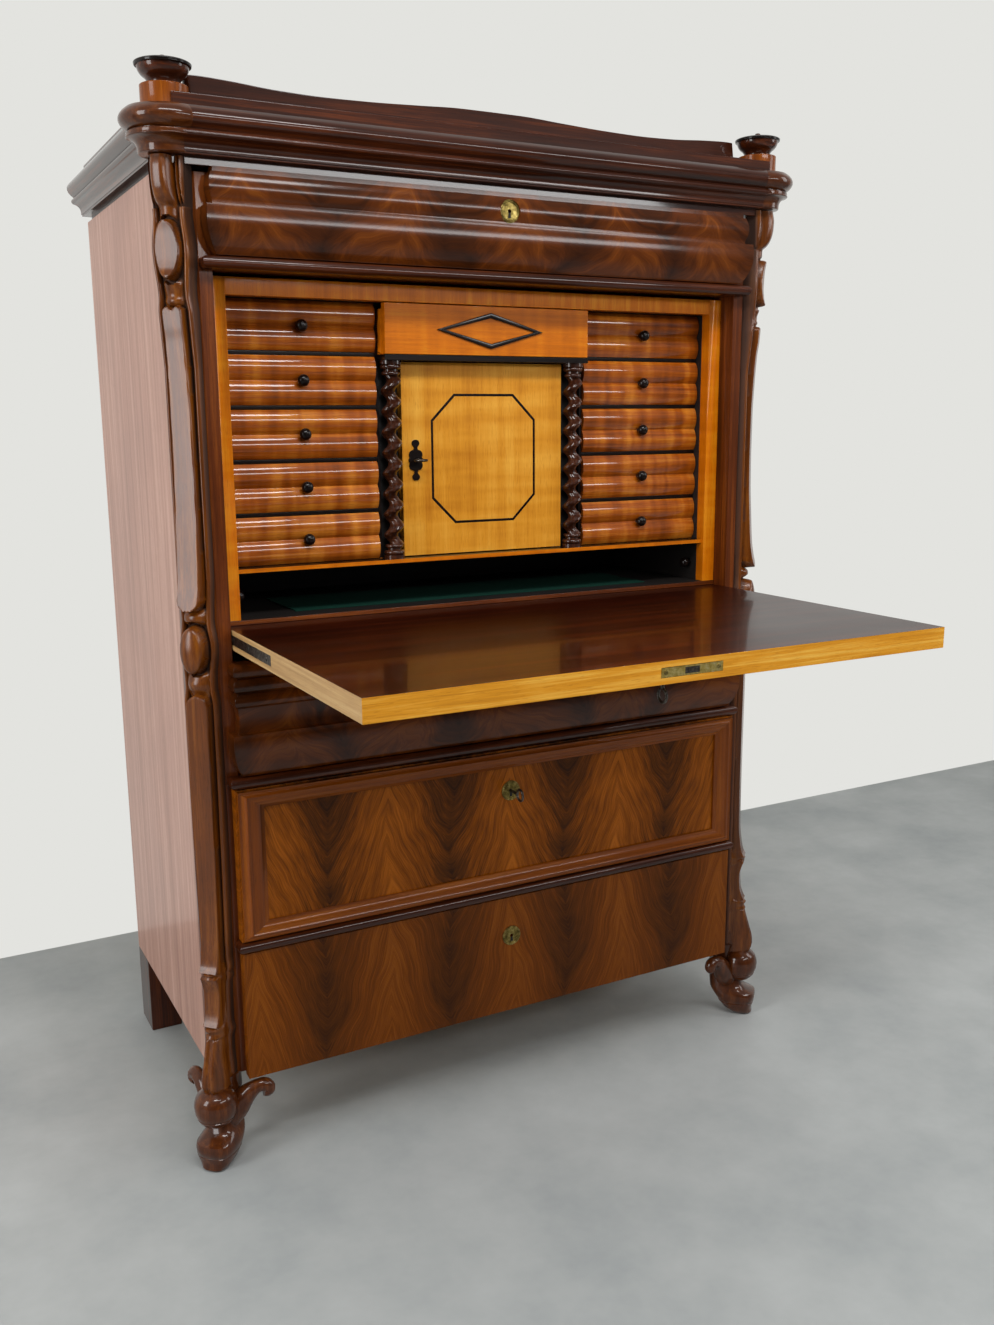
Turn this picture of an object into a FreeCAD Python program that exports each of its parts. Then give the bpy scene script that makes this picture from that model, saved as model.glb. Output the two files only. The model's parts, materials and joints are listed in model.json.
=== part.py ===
# A fall-front secretary in mahogany: a case with canted, carved front corners, a maple nest of drawers
# behind a fall that opens to a writing surface, a frieze drawer above it and three long drawers below.
# X runs to the right, Y to the back and Z up from the floor. The fall stands open.

import FreeCAD
import Part
import Sketcher
import math
import operator
import os
import types

doc = FreeCAD.newDocument("Secretary")
sheet = doc.addObject("Spreadsheet::Sheet", "Sizes")

# Driving dimensions in millimetres
sizes = {
    "case_width": 999,
    "case_depth": 551,
    "side_thickness": 22,
    "back_thickness": 12,
    "board_thickness": 18,
    "stile_setback": 18,
    "stile_width": 18.5,
    "post_return": 11.5,
    "corner_width": 59,
    "foot_height": 134,
    "front_drop": 5,
    "plain_height": 201,
    "framed_height": 234,
    "moulded_height": 166,
    "frieze_height": 110,
    "rail_height": 16,
    "fall_drop": 16.5,
    "fall_thickness": 29.5,
    "fall_tail": 22,
    "fall_rise": 488.5,
    "drawer_gap": 1.5,
    "side_gap": 3.5,
    "slide_gap": 0.5,
    "seat_gap": 0.3,
    "running_gap": 0.05,
    "front_overlap": 12,
    "moulding_projection": 14,
    "frame_margin": 3,
    "frame_member": 26,
    "frame_stile": 38,
    "frame_thickness": 9,
    "cornice_height": 57.5,
    "cornice_projection": 28,
    "cornice_overhang": 14,
    "cornice_wall": 32,
    "blocking_height": 26,
    "blocking_projection": 6,
    "blocking_inset": 30,
    "gallery_height": 30,
    "gallery_thickness": 18,
    "gallery_setback": 14,
    "capital_standoff": 13.4,
    "capital_drop": 6.5,
    "capital_radius": 50,
    "drum_radius": 31,
    "drum_height": 25,
    "finial_radius": 36.5,
    "finial_height": 50,
    "pilaster_width": 46,
    "rib_depth": 16,
    "panel_rise": 12,
    "panel_width": 30,
    "panel_round": 4,
    "cabochon_width": 27,
    "cabochon_depth": 15,
    "cabochon_height": 75,
    "ball_radius": 24,
    "toe_width": 42,
    "toe_reach": 46,
    "ear_reach": 78,
    "ear_width": 24,
    "ear_height": 44,
    "rear_foot_width": 55,
    "rear_foot_depth": 76,
    "drawer_back_gap": 51.5,
    "lining_thickness": 10,
    "bottom_thickness": 6,
    "bottom_lift": 8,
    "head_room": 6,
    "nest_setback": 50,
    "nest_depth": 280,
    "nest_stile": 24,
    "nest_wall": 10,
    "nest_frame_depth": 20,
    "door_setback": 32,
    "strip_setback": 44,
    "nest_top_drop": 4,
    "pigeonhole_height": 67,
    "shelf_thickness": 6,
    "divider_thickness": 5,
    "bay_width": 356,
    "bay_drawer_height": 75,
    "bay_drawer_lead": 27,
    "bay_shelf_thickness": 8,
    "small_setback": 34,
    "small_gap": 0.8,
    "small_front": 12,
    "small_lining": 6,
    "small_depth": 225,
    "knob_radius": 7.5,
    "knob_reach": 18,
    "sill_thickness": 7,
    "bed_thickness": 24,
    "bed_knob_height": 30,
    "baize_thickness": 1.5,
    "baize_width": 640,
    "baize_depth": 150,
    "column_radius": 11,
    "column_throw": 5,
    "column_pitch": 31,
    "column_block": 22,
    "column_inset": 17,
    "column_door_gap": 19,
    "column_setback": 27,
    "door_thickness": 16,
    "door_gap": 1.5,
    "strip_thickness": 5.5,
    "hinge_inset": 4,
    "hinge_radius": 1.5,
    "hinge_length": 12,
    "hinge_seat": 4,
    "string_width": 4,
    "string_depth": 1,
    "octagon_width": 186,
    "octagon_height": 201,
    "octagon_chamfer": 40,
    "lozenge_width": 186,
    "lozenge_height": 54,
    "lozenge_bar": 8,
    "lozenge_rise": 3,
    "leaf_width": 20,
    "leaf_height": 62,
    "leaf_thickness": 2,
    "pivot_length": 210,
    "pivot_width": 14,
    "pivot_plate": 3,
    "pivot_radius": 4,
    "pivot_reach": 11,
    "socket_length": 40,
    "socket_lead": 10,
    "escutcheon_radius": 16.5,
    "escutcheon_rim": 1,
    "escutcheon_depth": 2,
    "keyhole_radius": 3,
    "key_radius": 2.6,
    "key_reach": 22,
    "door_key_reach": 11,
    "bow_radius": 9,
    "bow_thickness": 2,
    "bit_reach": 8,
    "bit_width": 4,
    "lock_width": 60,
    "lock_below": 16,
    "lock_depth": 12,
    "lock_wall": 2,
    "lock_plate_width": 94,
    "lock_plate": 2.5,
    "bolt_width": 22,
    "bolt_length": 20,
    "bolt_throw": 9,
    "door_bolt_length": 14,
    "fall_backset": 62,
    "door_backset": 22,
    "cut_overrun": 5,
}


# Sizes carry a number and the sheet expression that drives it
class Size:
    def __init__(self, number, text):
        self.number = number
        self.text = text

    def __add__(self, other):
        return combined(self, "+", other)

    def __radd__(self, other):
        return combined(other, "+", self)

    def __sub__(self, other):
        return combined(self, "-", other)

    def __rsub__(self, other):
        return combined(other, "-", self)

    def __mul__(self, other):
        return combined(self, "*", other)

    def __rmul__(self, other):
        return combined(other, "*", self)

    def __truediv__(self, other):
        return combined(self, "/", other)

    def __neg__(self):
        return combined(0, "-", self)


operations = {"+": operator.add, "-": operator.sub, "*": operator.mul, "/": operator.truediv}


def as_size(value):
    if isinstance(value, Size):
        return value
    return Size(float(value), str(value))


def combined(left, sign, right):
    left = as_size(left)
    right = as_size(right)
    number = operations[sign](left.number, right.number)
    return Size(number, "(%s %s %s)" % (left.text, sign, right.text))


def fill_sheet():
    for row, (alias, number) in enumerate(sizes.items(), start=1):
        sheet.set("A%d" % row, alias)
        sheet.set("B%d" % row, str(number))
        sheet.setAlias("B%d" % row, alias)
    doc.recompute()
    return {alias: Size(float(sheet.get(alias)), "Sizes." + alias) for alias in sizes}


s = types.SimpleNamespace(**fill_sheet())


# Ways of making a piece
nodes = []
x_axis = FreeCAD.Vector(1, 0, 0)
y_axis = FreeCAD.Vector(0, 1, 0)
z_axis = FreeCAD.Vector(0, 0, 1)


def bind(piece, name, size):
    piece.setExpression(name, as_size(size).text)


def place(piece, base, axis=z_axis, angle=0):
    piece.Placement = FreeCAD.Placement(FreeCAD.Vector(), FreeCAD.Rotation(axis, angle))
    for name, size in zip("xyz", base):
        bind(piece, "Placement.Base." + name, size)
    return piece


def keep(label, piece):
    piece.Label = label
    nodes.append(piece)
    return piece


def board(name, x, y, z):
    box = doc.addObject("Part::Box", name)
    for side, span in zip(("Length", "Width", "Height"), (x, y, z)):
        bind(box, side, span[1] - span[0])
    return place(box, (x[0], y[0], z[0]))


def rod(name, radius, length, base, axis=z_axis, angle=0):
    cylinder = doc.addObject("Part::Cylinder", name)
    bind(cylinder, "Radius", radius)
    bind(cylinder, "Height", length)
    return place(cylinder, base, axis, angle)


def group(name, pieces):
    bundle = doc.addObject("Part::Compound", name)
    bundle.Links = pieces
    return bundle


def fused(name, pieces):
    whole = doc.addObject("Part::MultiFuse", name)
    whole.Shapes = pieces
    return whole


def carved(name, base, tools):
    result = doc.addObject("Part::Cut", name)
    result.Base = base
    result.Tool = tools[0] if len(tools) == 1 else group(name + "Tools", tools)
    return result


def common(name, base, tool):
    result = doc.addObject("Part::Common", name)
    result.Base = base
    result.Tool = tool
    return result


def mirrored(name, piece):
    copy = doc.addObject("Part::Mirroring", name)
    copy.Source = piece
    copy.Normal = x_axis
    return copy


def pair(name, piece):
    return group(name, [piece, mirrored(name + "Right", piece)])


# An outline is a list of (x, y, bulge share): the bulge of the stretch to the next point, as a share of its
# chord, to the right of the way the outline runs.
half_round_share = 0.5


def arc_centre(start, end, bulge):
    swing_share = (0.25 - bulge * bulge) / (2 * bulge)
    x = (start[0] + end[0]) / 2 - (end[1] - start[1]) * swing_share
    y = (start[1] + end[1]) / 2 + (end[0] - start[0]) * swing_share
    return x, y


def arc(start, end, bulge):
    centre = [size.number for size in arc_centre(start, end, bulge)]
    ends = [start, end] if bulge > 0 else [end, start]
    angles = [math.atan2(y.number - centre[1], x.number - centre[0]) for x, y in ends]
    if angles[1] <= angles[0]:
        angles[1] += 2 * math.pi
    radius = math.hypot(start[0].number - centre[0], start[1].number - centre[1])
    circle = Part.Circle(FreeCAD.Vector(centre[0], centre[1], 0), z_axis, radius)
    return Part.ArcOfCircle(circle, angles[0], angles[1])


def line(start, end):
    ends = [FreeCAD.Vector(x.number, y.number, 0) for x, y in (start, end)]
    return Part.LineSegment(ends[0], ends[1])


def fix(sketch, kind, piece, vertex, size):
    index = sketch.addConstraint(Sketcher.Constraint(kind, -1, 1, piece, vertex, size.number))
    sketch.setExpression("Constraints[%d]" % index, size.text)


def outlined(body, role, points):
    plane = next(feature for feature in body.Origin.OriginFeatures if feature.Role == role)
    sketch = body.newObject("Sketcher::SketchObject", body.Name + "Sketch")
    sketch.AttachmentSupport = (plane, [""])
    sketch.MapMode = "FlatFace"
    corners = [(as_size(x), as_size(y)) for x, y, bulge in points]
    bulges = [bulge for x, y, bulge in points]
    followers = corners[1:] + corners[:1]
    for start, end, bulge in zip(corners, followers, bulges):
        sketch.addGeometry(arc(start, end, bulge) if bulge else line(start, end))
    for index, (start, end, bulge) in enumerate(zip(corners, followers, bulges)):
        first = 2 if bulge < 0 else 1
        before = index - 1 if index else len(points) - 1
        last = 1 if bulges[before] < 0 else 2
        sketch.addConstraint(Sketcher.Constraint("Coincident", before, last, index, first))
        fix(sketch, "DistanceX", index, first, start[0])
        fix(sketch, "DistanceY", index, first, start[1])
        if bulge:
            centre = arc_centre(start, end, bulge)
            upright = abs(end[1].number - start[1].number) >= abs(end[0].number - start[0].number)
            fix(sketch, "DistanceX" if upright else "DistanceY", index, 3,
                centre[0] if upright else centre[1])
    return sketch


def padded(name, role, points, length, base, axis=z_axis, angle=0):
    body = doc.addObject("PartDesign::Body", name)
    sketch = outlined(body, role, points)
    pad = body.newObject("PartDesign::Pad", name + "Pad")
    pad.Profile = sketch
    bind(pad, "Length", length)
    return place(body, base, axis, angle)


def turned(name, points, base, axis=z_axis, angle=0):
    body = doc.addObject("PartDesign::Body", name)
    sketch = outlined(body, "XZ_Plane", points)
    spin = body.newObject("PartDesign::Revolution", name + "Spin")
    spin.Profile = sketch
    spin.ReferenceAxis = (sketch, ["V_Axis"])
    spin.Angle = 360
    return place(body, base, axis, angle)


def both_sides(points):
    left = []
    for index in range(len(points) - 1, -1, -1):
        x, y, bulge = points[index]
        left.append((-x, y, points[index - 1][2] if index else 0))
    return points + left


# A moulded block whose profile runs along the front and returns round both ends with a mitre
def mitred(name, half_width, front, depth, low, profile, projection):
    reach = 2 * projection
    top = profile[-1][1]
    front_outline = [(-p, rise, -bulge) for p, rise, bulge in profile] + [(depth, top, 0), (depth, 0, 0)]
    length = 2 * (half_width + reach)
    run = padded(name + "Run", "YZ_Plane", front_outline, length, (-half_width - reach, front, low))
    end_outline = both_sides([(half_width + p, rise, bulge) for p, rise, bulge in profile])
    ends = padded(name + "Ends", "XZ_Plane", end_outline, depth + reach, (0, front + depth, low))
    return common(name, run, ends)


def scaled(shares, projection, height):
    return [(projection * p, height * rise, bulge) for p, rise, bulge in shares]


# Levels and planes that the pieces share
fall_reach = s.fall_rise - s.drawer_gap - s.stile_setback
front = (fall_reach - s.case_depth - s.cornice_overhang) / 2
half_case = s.case_width / 2
half_opening = half_case - s.corner_width
inner_side = half_case - s.side_thickness
stile_face = front + s.stile_setback
cant_run = s.corner_width - s.stile_width
post_back = stile_face + cant_run + s.post_return
case_back = front + s.case_depth
back_face = case_back - s.back_thickness
half_front = half_opening + s.front_overlap

case_low = s.foot_height + s.front_drop
plain_low = s.foot_height
plain_high = plain_low + s.plain_height
low_rail = plain_high + s.drawer_gap
framed_low = low_rail + s.rail_height + s.drawer_gap
framed_high = framed_low + s.framed_height
mid_rail = framed_high + s.drawer_gap
moulded_low = mid_rail + s.rail_height + s.drawer_gap
moulded_high = moulded_low + s.moulded_height
fall_low = moulded_high + s.fall_drop
fall_high = fall_low + s.fall_thickness
top_rail = fall_high + s.fall_rise
frieze_low = top_rail + s.rail_height + s.drawer_gap
frieze_high = frieze_low + s.frieze_height
cornice_low = frieze_high + s.drawer_gap
cornice_high = cornice_low + s.cornice_height
blocking_high = cornice_high + s.blocking_height

pivot_y = stile_face + s.fall_thickness / 2
pivot_z = fall_low + s.fall_thickness / 2
socket_front = pivot_y - s.socket_lead
nest_face = front + s.nest_setback
bed_high = fall_high + s.sill_thickness
shelf_low = bed_high + s.pigeonhole_height
shelf_high = shelf_low + s.shelf_thickness
nest_half = half_opening - s.slide_gap
nest_inner = nest_half - s.nest_stile
nest_high = top_rail - s.nest_top_drop
nest_ceiling = nest_high - s.nest_stile
nest_back = nest_face + s.nest_depth
small_face = nest_face + s.small_setback
small_back = small_face + s.small_front
door_face = nest_face + s.door_setback
bay_half = s.bay_width / 2
column_x = bay_half - s.column_inset
door_half = column_x - s.column_door_gap
bay_shelf = nest_ceiling - s.bay_drawer_height - s.bay_shelf_thickness
frame_back = nest_face + s.nest_frame_depth

# The cant at each front corner runs at 45 degrees from the stile to the side
diagonal_share = math.sqrt(half_round_share)
cant_x = cant_run / 2 - half_case
cant_y = stile_face + cant_run / 2
left_turn = -math.degrees(math.pi / 4)
half_turn = math.degrees(math.pi)
capital_low = cornice_low - s.capital_drop


def on_cant(along, out):
    return cant_x + (along - out) * diagonal_share, cant_y - (along + out) * diagonal_share


# Case
def make_sides():
    panel = board("SideBoard", (-half_case, -inner_side), (post_back, case_back), (case_low, cornice_low))
    keep("side_panels", pair("SideBoards", panel))


def make_posts():
    outline = [
        (-half_opening, stile_face, 0),
        (-half_opening, post_back, 0),
        (-half_case, post_back, 0),
        (-half_case, stile_face + cant_run, 0),
        (-half_opening - s.stile_width, stile_face, 0),
    ]
    post = padded("Post", "XY_Plane", outline, capital_low - case_low, (0, 0, case_low))
    seat = board(
        "SocketSeat",
        (-half_opening - s.pivot_plate, s.cut_overrun - half_opening),
        (socket_front, socket_front + s.socket_length),
        (pivot_z - s.pivot_width / 2, pivot_z + s.pivot_width / 2),
    )
    bore_length = s.pivot_reach + s.cut_overrun
    bore = rod("PivotBore", s.pivot_radius + s.running_gap, bore_length,
               (-half_opening - s.pivot_reach, pivot_y, pivot_z), y_axis, 90)
    keep("corner_posts", pair("CornerPosts", carved("PostBored", post, [seat, bore])))


def make_case_boards():
    inner = (-inner_side, inner_side)
    keep("back_panel", board("BackBoard", inner, (back_face, case_back), (case_low, cornice_low)))
    floor_y = (post_back, back_face)
    low_board = board("LowBoard", inner, floor_y, (case_low, case_low + s.board_thickness))
    low_lip = board("LowLip", (-half_opening, half_opening), (stile_face, post_back),
                    (case_low, case_low + s.board_thickness))
    keep("bottom_board", fused("BottomBoard", [low_board, low_lip]))


def make_rail(name, low, mortises):
    bead = [(0, 0, 0.4), (0, s.rail_height, 0)]
    nose = mitred(name + "Bead", half_front, front, s.stile_setback, low, bead, s.moulding_projection)
    rail = board(name + "Board", (-half_opening, half_opening), (stile_face, post_back),
                 (low, low + s.rail_height))
    whole = fused(name, [nose, rail])
    return carved(name + "Mortised", whole, mortises) if mortises else whole


def make_rails():
    room = s.seat_gap
    half_bolt = s.bolt_width / 2 + room
    drawer_bolt_y = front + s.stile_setback - s.slide_gap + s.lock_wall
    drawer_mortise = board(
        "DrawerMortise",
        (-half_bolt, half_bolt),
        (drawer_bolt_y - room, drawer_bolt_y + s.lock_depth - 2 * s.lock_wall + room),
        (mid_rail - s.cut_overrun, mid_rail + s.bolt_throw + room),
    )
    fall_bolt_y = stile_face + s.fall_thickness / 2
    half_depth = s.lock_depth / 2 - s.lock_wall + room
    fall_mortise = board(
        "FallMortise",
        (-half_bolt, half_bolt),
        (fall_bolt_y - half_depth, fall_bolt_y + half_depth),
        (top_rail - s.cut_overrun, top_rail + s.bolt_throw + room),
    )
    rails = [
        make_rail("LowRail", low_rail, []),
        make_rail("MidRail", mid_rail, [drawer_mortise]),
        make_rail("TopRail", top_rail, [fall_mortise]),
    ]
    keep("drawer_rails", group("DrawerRails", rails))


def make_runners():
    inside = half_opening - s.side_gap - s.lining_thickness
    runners = []
    for name, low in (("Low", low_rail), ("Mid", mid_rail), ("Top", top_rail)):
        runner = board(name + "Runner", (-inner_side, -inside), (post_back, back_face),
                       (low, low + s.rail_height))
        runners.append(pair(name + "Runners", runner))
    keep("drawer_runners", group("DrawerRunners", runners))


# Cornice, capitals and gallery
cornice_shares = [
    (0.00, 0.00, 0), (0.12, 0.00, 0), (0.12, 0.10, 0), (0.22, 0.10, 0), (0.22, 0.18, -0.2),
    (0.58, 0.60, 0), (0.68, 0.60, 0), (0.68, 0.68, half_round_share), (0.68, 1.00, 0),
]
torus_share = 1.18


def capital_seat(name, radius, low, high):
    x, y = on_cant(0, s.capital_standoff)
    top = high + s.cut_overrun
    round_seat = rod(name + "Round", radius, top - low, (x, y, low))
    reach = s.capital_radius + s.cornice_projection
    corner = board(name + "Corner", (x - reach, x), (y - reach, y), (low, top))
    seat = fused(name, [round_seat, corner])
    return [seat, mirrored(name + "Right", seat)]


def make_cornice():
    profile = scaled(cornice_shares, s.cornice_projection, s.cornice_height)
    depth = s.case_depth + s.cornice_overhang
    slab = mitred("CorniceSlab", half_case, front, depth, cornice_low, profile, s.cornice_projection)
    hollow_x = half_case - s.cornice_wall
    hollow_y = (front + s.cornice_wall, front + depth + s.cut_overrun)
    hollow = board("CorniceHollow", (-hollow_x, hollow_x), hollow_y,
                   (cornice_low - s.cut_overrun, cornice_high + s.cut_overrun))
    seat_radius = torus_share * s.capital_radius
    seats = capital_seat("CorniceSeat", seat_radius, cornice_low - s.cut_overrun, cornice_high)
    keep("cornice_moulding", carved("Cornice", slab, [hollow] + seats))
    lid = board("TopBoardBlank", (-hollow_x, hollow_x), (hollow_y[0], case_back),
                (cornice_low, cornice_high))
    lid_seats = capital_seat("TopSeat", seat_radius, cornice_low - s.cut_overrun, cornice_high)
    keep("top_board", carved("TopBoard", lid, lid_seats))


def make_blocking():
    half = half_case + s.blocking_projection
    block = board("BlockingBlank", (-half, half),
                  (front - s.blocking_projection, case_back - s.blocking_inset),
                  (cornice_high, blocking_high))
    seats = capital_seat("BlockingSeat", s.drum_radius, cornice_high - s.cut_overrun, blocking_high)
    keep("blocking_course", carved("Blocking", block, seats))


def make_gallery():
    half = half_opening
    top_shares = [(1.00, 0.35, 0.2), (0.95, 0.90, 0.06), (0.70, 0.94, -0.02), (0.28, 0.80, 0.04)]
    right = [(half, 0, 0)] + [(half * x, s.gallery_height * rise, bulge) for x, rise, bulge in top_shares]
    outline = both_sides(right)
    crown = len(right) - 1
    outline[crown] = (outline[crown][0], outline[crown][1], 0.03)
    back = front + s.gallery_setback + s.gallery_thickness
    keep("gallery_board", padded("Gallery", "XZ_Plane", outline, s.gallery_thickness,
                                 (0, back, blocking_high)))


def make_capitals():
    radius = s.capital_radius
    rise = cornice_high - capital_low
    capital_shares = [
        (0, 0, 0), (0.76, 0, 0), (0.76, 0.10, -0.2), (0.98, 0.50, 0), (1.02, 0.50, 0), (1.02, 0.61, 0),
        (0.96, 0.61, 0.42), (0.96, 1.00, 0),
    ]
    x, y = on_cant(0, s.capital_standoff)
    drum_high = rise + s.drum_height
    drum_points = [(s.drum_radius, rise, 0), (s.drum_radius, drum_high, 0), (0, drum_high, 0)]
    capital = turned("Capital", scaled(capital_shares, radius, rise) + drum_points, (x, y, capital_low))
    finial_shares = [
        (0, 0, 0), (0.75, 0, 0.16), (0.88, 0.60, 0), (1.00, 0.62, 0.4), (1.00, 0.76, 0.05),
        (0.14, 0.86, 0.3),
        (0.12, 1.00, 0), (0, 1.00, 0),
    ]
    finial = turned("Finial", scaled(finial_shares, s.finial_radius, s.finial_height),
                    (x, y, cornice_high + s.drum_height))
    keep("corner_capitals", group("CornerCapitals", [pair("Capitals", capital), pair("Finials", finial)]))


# Carved pilasters on the canted corners
pilaster_height = capital_low - case_low
rib_shares = [
    (0.80, 0.000, -0.08), (0.60, 0.060, 0.40), (0.60, 0.082, -0.03), (0.60, 0.132, 0.40),
    (0.66, 0.158, 0.02),
    (0.95, 0.450, 0.15), (0.62, 0.476, 0.14), (0.62, 0.536, -0.20), (0.76, 0.556, 0.05), (0.95, 0.600, 0),
    (0.70, 0.860, -0.10), (0.80, 0.869, 0), (0.58, 0.885, 0.15), (0.58, 0.962, -0.10), (0.95, 1.000, 0),
]
cabochon_level_shares = {"High": 0.924, "Low": 0.507}
low_cabochon_share = 0.88
club_low_share = 0.551
club_high_share = 0.868
panel_low_share = 0.160
panel_high_share = 0.452
scroll_share = 0.034
foot_scroll_share = 0.066


def rounded_front(body, pad_name, radius):
    doc.recompute()
    pad = doc.getObject(pad_name)
    edges = []
    for index, edge in enumerate(pad.Shape.Edges, start=1):
        if abs(edge.BoundBox.YMax - pad.Shape.BoundBox.YMin) < s.running_gap.number:
            edges.append("Edge%d" % index)
    rounding = body.newObject("PartDesign::Fillet", body.Name + "Round")
    rounding.Base = (pad, edges)
    bind(rounding, "Radius", radius)
    return body


def make_pilaster():
    half = s.pilaster_width / 2
    panel = s.panel_width / 2
    rib_outline = both_sides([(half * w, pilaster_height * rise, bulge) for w, rise, bulge in rib_shares])
    rib_x, rib_y = on_cant(0, 0)
    rib = padded("Rib", "XZ_Plane", rib_outline, s.rib_depth, (rib_x, rib_y, case_low), z_axis, left_turn)

    face_x, face_y = on_cant(0, s.rib_depth)
    club_low = pilaster_height * club_low_share
    club_high = pilaster_height * club_high_share
    waist_share = 0.70
    waist_drop_share = 2.6
    shoulder_share = 0.92
    shoulder_drop_share = 0.5
    club_right = [
        (panel, club_low + panel, 0),
        (panel * waist_share, club_high - panel * waist_drop_share, 0),
        (panel * shoulder_share, club_high - panel * shoulder_drop_share, 0),
    ]
    club_left = [(-x, z, 0) for x, z, bulge in reversed(club_right)]
    club_left[-1] = (club_left[-1][0], club_left[-1][1], half_round_share)
    club_outline = club_right + [(0, club_high, 0)] + club_left
    club = padded("Club", "XZ_Plane", club_outline, s.panel_rise, (0, 0, 0))
    rounded_front(club, "ClubPad", s.panel_round)
    place(club, (face_x, face_y, case_low), z_axis, left_turn)

    panel_low = pilaster_height * panel_low_share
    panel_top = pilaster_height * panel_high_share - panel
    panel_outline = [(panel, panel_low, 0), (panel, panel_top, half_round_share), (-panel, panel_top, 0),
                     (-panel, panel_low, 0)]
    flat = padded("FlatPanel", "XZ_Plane", panel_outline, s.panel_rise, (0, 0, 0))
    rounded_front(flat, "FlatPanelPad", s.panel_round)
    place(flat, (face_x, face_y, case_low), z_axis, left_turn)

    scroll_rise = pilaster_height * scroll_share
    scroll_out = s.capital_radius / 2
    side_x, side_y = on_cant(-panel, s.rib_depth)
    scroll_outline = [(0, 0, 0), (0, scroll_rise, 0), (-scroll_out, scroll_rise, 0.18),
                      (-scroll_out / 2, scroll_rise / 2, -0.18)]
    scroll = padded("HighScroll", "YZ_Plane", scroll_outline, s.panel_width,
                    (side_x, side_y, capital_low - scroll_rise), z_axis, left_turn)
    foot_rise = pilaster_height * foot_scroll_share
    foot_outline = [(0, 0, 0), (0, foot_rise, 0), (-s.panel_rise / 2, foot_rise, -0.1),
                    (-s.panel_rise, foot_rise / 2, 0.2), (-s.panel_rise, 0, 0)]
    foot_scroll = padded("LowScroll", "YZ_Plane", foot_outline, s.panel_width, (side_x, side_y, case_low),
                         z_axis, left_turn)
    return fused("Pilaster", [rib, club, flat, scroll, foot_scroll])


def make_cabochons():
    x, y = on_cant(0, s.rib_depth)
    ovals = []
    for name, level_share in cabochon_level_shares.items():
        oval = doc.addObject("Part::Ellipsoid", name + "Cabochon")
        size_share = low_cabochon_share if name == "Low" else 1
        bind(oval, "Radius1", s.cabochon_height / 2 * size_share)
        bind(oval, "Radius2", s.cabochon_width / 2)
        bind(oval, "Radius3", s.cabochon_depth)
        oval.Angle3 = half_turn
        place(oval, (x, y, case_low + pilaster_height * level_share), z_axis, left_turn + half_turn)
        ovals.append(pair(name + "Cabochons", oval))
    return ovals


def make_pilasters():
    keep("corner_pilasters", group("Pilasters", [pair("PilasterPair", make_pilaster())] + make_cabochons()))


# Feet
ear_shares = [(0, -1.0, -0.2), (0.72, -0.42, 0), (0.80, -0.46, 0.45), (1.0, -0.12, 0.1), (0.9, 0, 0),
              (0, 0, 0)]
collar_share = 1.2


def make_front_feet():
    x, y = on_cant(0, s.capital_standoff)
    high = s.foot_height
    ball_shares = [(0, 0.38, 0), (0.86, 0.38, 0), (0.92, 0.48, 0.22), (1.0, 0.92, 0),
                   (collar_share, 0.94, 0)]
    ball_points = scaled(ball_shares, s.ball_radius, high)
    collar = [(collar_share * s.ball_radius, case_low, 0), (0, case_low, 0)]
    ball = turned("FootBall", ball_points + collar, (x, y, 0))
    toe_shares = [
        (-0.44, 0.42, -0.18), (-0.20, 0.06, 0.2), (-0.05, 0.0, 0), (0.70, 0.0, 0.45), (0.62, 0.27, -0.2),
        (0.40, 0.42, 0),
    ]
    toe_points = [(-s.toe_reach * out, high * rise, -bulge) for out, rise, bulge in toe_shares]
    aside = s.toe_width / 2 * diagonal_share
    toe = padded("FootToe", "YZ_Plane", toe_points, s.toe_width, (x - aside, y + aside, 0), z_axis,
                 left_turn)
    half_ear = s.ear_width / 2
    ear_points = scaled(ear_shares, s.ear_reach, s.ear_height)
    front_ear = padded("FrontEar", "XZ_Plane", ear_points, s.ear_width,
                       (x, y + half_ear, high - s.drawer_gap))
    side_ear = padded("SideEar", "YZ_Plane", ear_points, s.ear_width, (x - half_ear, y, case_low))
    keep("front_feet", pair("FrontFeet", fused("FrontFoot", [ball, toe, front_ear, side_ear])))


def make_rear_feet():
    foot = board("RearFoot", (-half_case, s.rear_foot_width - half_case),
                 (case_back - s.rear_foot_depth, case_back), (0, case_low))
    keep("rear_feet", pair("RearFeet", foot))


# Locks: the keyhole is the origin, the key stands out along -Y and the bolt throws along +Z
def lock_pieces(name, thickness, throw_edge, has_key):
    hole = s.keyhole_radius
    recess = s.escutcheon_depth - s.escutcheon_rim
    disc = rod(name + "Disc", s.escutcheon_radius, s.escutcheon_depth, (0, recess, 0), x_axis, 90)
    eye = rod(name + "Eye", hole, s.escutcheon_depth + 2 * s.cut_overrun, (0, recess + s.cut_overrun, 0),
              x_axis, 90)
    plate = carved(name + "Escutcheon", disc, [eye])
    half = s.lock_width / 2
    high = throw_edge - s.lock_plate
    case = board(name + "Case", (-half, half), (thickness, thickness + s.lock_depth), (-s.lock_below, high))
    if not has_key:
        return [plate, case]
    wall = s.lock_wall
    hollow = board(name + "Hollow", (wall - half, half - wall),
                   (thickness + wall, thickness + s.lock_depth - wall), (wall - s.lock_below, high - wall))
    slot_half = s.bolt_width / 2 + s.seat_gap
    slot_y = (thickness + wall - s.seat_gap / 2, thickness + s.lock_depth - wall + s.seat_gap / 2)
    slot = board(name + "Slot", (-slot_half, slot_half), slot_y, (0, high + 2 * s.cut_overrun))
    way = rod(name + "Way", hole, s.lock_depth / 2, (0, thickness + s.lock_depth / 2, 0), x_axis, 90)
    return [plate, carved(name + "CaseShell", case, [hollow, slot, way])]


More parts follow.
